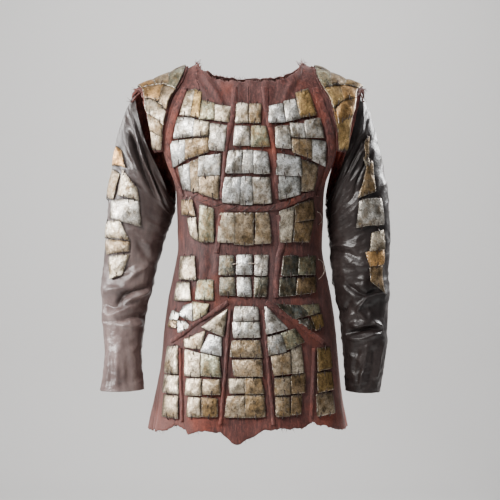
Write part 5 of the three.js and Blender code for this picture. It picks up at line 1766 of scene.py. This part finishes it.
def capRoots(hand):
    surface = capSurface(hand)

    def roots(draw):
        found = []
        for _ in range(strandMake["cap"]):
            b = draw.gauss(0.4, 0.22) % 1
            root = lifted(surface, 0.99, b, bodyForm["capLift"] + bodyForm["capWall"] * draw.uniform(0, 1))
            corner = math.exp(-((b - 0.42) / 0.12) ** 2)
            aim = (hand * draw.uniform(0.3, 1), draw.uniform(-0.5, 0.5), draw.uniform(-0.7, 0.3))
            length = draw.uniform(1.5, 4) * (1 + 1.3 * corner)
            found.append((root, aim, length, strandMake["thick"] * draw.uniform(0.6, 1.4)))
        return found
    return roots


makeFray("neck_fray_front", neckRoots(-1, strandMake["neck"]), 81)
makeFray("neck_fray_back", neckRoots(1, strandMake["backNeck"]), 82)
makeFray("hem_fray_front", hemRoots(-1), 83)
makeFray("hem_fray_back", hemRoots(1), 84)
for word, hand in hands.items():
    makeFray(f"shoulder_fray_{word}", capRoots(hand), 85 + hand)

makeStitches("band_wraps", band, 27, 0.9, 1.15, 1.7, 91)
for word in hands:
    makeStitches(f"piping_stitches_{word}", welts[f"chest_piping_{word}"], 19, 0.55, 0.5, 1.0, 92)
    makeStitches(f"chest_welt_stitches_{word}", welts[f"chest_welt_{word}"], 31, 0.8, 0.4, 1.0, 93)
    makeStitches(f"hip_welt_stitches_{word}", welts[f"hip_welt_{word}"], 24, 0.8, 0.4, 1.0, 94)

seamMake = {
    "from": -48,             # heights of its two ends
    "to": -222,
    "middle": -2,            # off the middle of the chest
    "wander": 0.9,
    "lip": 1.9,              # width of a turned edge and of the painted shadow line between them
    "gap": 1.1,
    "lipSeat": 0.35,
    "lineSeat": -0.1,
}


def makeSeam():
    # the join of the two halves of the breast: two turned edges with a painted shadow line between them
    z = np.linspace(seamMake["from"], seamMake["to"], 70)
    middle = seamMake["middle"] + seamMake["wander"] * lumps(flatPlaces(z, 0 * z), 22, 95)
    aside = seamMake["gap"] / 2 + seamMake["lip"] / 2
    points, faces, indices = [], [], []
    for lip in (-1, 1):
        path = lifted(front, middle + lip * aside, z, bodyForm["hideWall"] + seamMake["lipSeat"] + 0 * z)
        before = len(faces)
        addThong(points, faces, path, seamMake["lip"])
        indices += [0] * (len(faces) - before)
    before = len(faces)
    # a thin line of painted shadow, just under the hide's face, between the turned edges
    path = lifted(front, middle, z, bodyForm["hideWall"] + seamMake["lineSeat"] + 0 * z)
    addThong(points, faces, path, seamMake["gap"], 4)
    indices += [1] * (len(faces) - before)
    makePiece("breast_seam", points, faces, [rolledHide, paintedShade], indices=indices,
              shell=False)


makeSeam()

looseThongs = {  # paths on the front of the hide: x, z and millimetres over it
    "collar_stitches": [
        [(x, z, 0.4), (x + 5, z - 4, 1.2), (x + 10, z - 9, 0.4)]
        for x, z in ((-93 - 3 * k, -44 - 4.2 * k) for k in range(6))
    ],
    "waist_knot": [
        [(-33, -398, 5.2), (-29, -397, 6.4), (-23, -397, 5.8)],
        [(-5, -398, 6.4), (2, -396, 7.4), (9, -397, 7.2), (14, -398, 6.0)],
    ],
    "side_strings": [
        [(131, -292, 1), (137, -296, 3), (139, -310, 4), (134, -318, 2)],
        [(134, -388, 1), (141, -395, 4), (143, -412, 5), (138, -424, 3), (134, -428, 1)],
        [(-112, -262, 5), (-116, -272, 6), (-113, -284, 5), (-118, -292, 4)],
    ],
}


def makeLooseThongs(name, width, material):
    points, faces = [], []
    for path in looseThongs[name]:
        knots = [(i, *place) for i, place in enumerate(path)]
        t = np.linspace(0, len(path) - 1, 5 * (len(path) - 1) + 1)
        x, z, up = (curveThrough(knots, column)(t) for column in (1, 2, 3))
        addThong(points, faces, lifted(front, x, z, bodyForm["hideWall"] + up), width)
    makePiece(name, points, faces, [material])


makeLooseThongs("collar_stitches", 1.2, lacingThong)
makeLooseThongs("waist_knot", 1.7, paleThong)
makeLooseThongs("side_strings", 1.0, paleThong)

sleeveTies = [  # share along the cap, turn and ring on the sleeve, width
    (0.40, 22, 0.15, 4.2),
    (0.36, 34, 0.2, 3.2),
    (0.44, 12, 0.1, 3.0),
]


def makeSleeveTies(word, hand):
    # knotted strips that hold the head of the sleeve to the cap
    node = f"sleeve_{word}"
    cap, sleeve = capSurface(hand), sleeveSurface(sleeves[node])
    draw = random.Random(97 + hand)
    points, faces = [], []
    for b, turn, ring, wide in sleeveTies:
        top = lifted(cap, 0.96, b, bodyForm["capLift"] - 0.8)
        foot = lifted(sleeve, turn, ring + 0.25, 1.4)
        path = []
        for i in range(8):
            share = i / 7
            sag = math.sin(share * math.pi) * 2.2
            path.append(top + (foot - top) * share + np.array([hand * sag, -0.6 * sag, 0]))
        addThong(points, faces, path, wide)
        for _ in range(3):  # loose ends below the knot
            aim = np.array([hand * draw.uniform(-0.3, 0.8), draw.uniform(-0.8, 0.1), draw.uniform(-1, 0.5)])
            addStrand(points, faces, foot, aim, draw.uniform(5, 11), draw, 2.2)
    makePiece(f"sleeve_ties_{word}", points, faces, [rolledHide], shell=False)


for word, hand in hands.items():
    makeSleeveTies(word, hand)
print("stitches, ties and frayed edges are on")
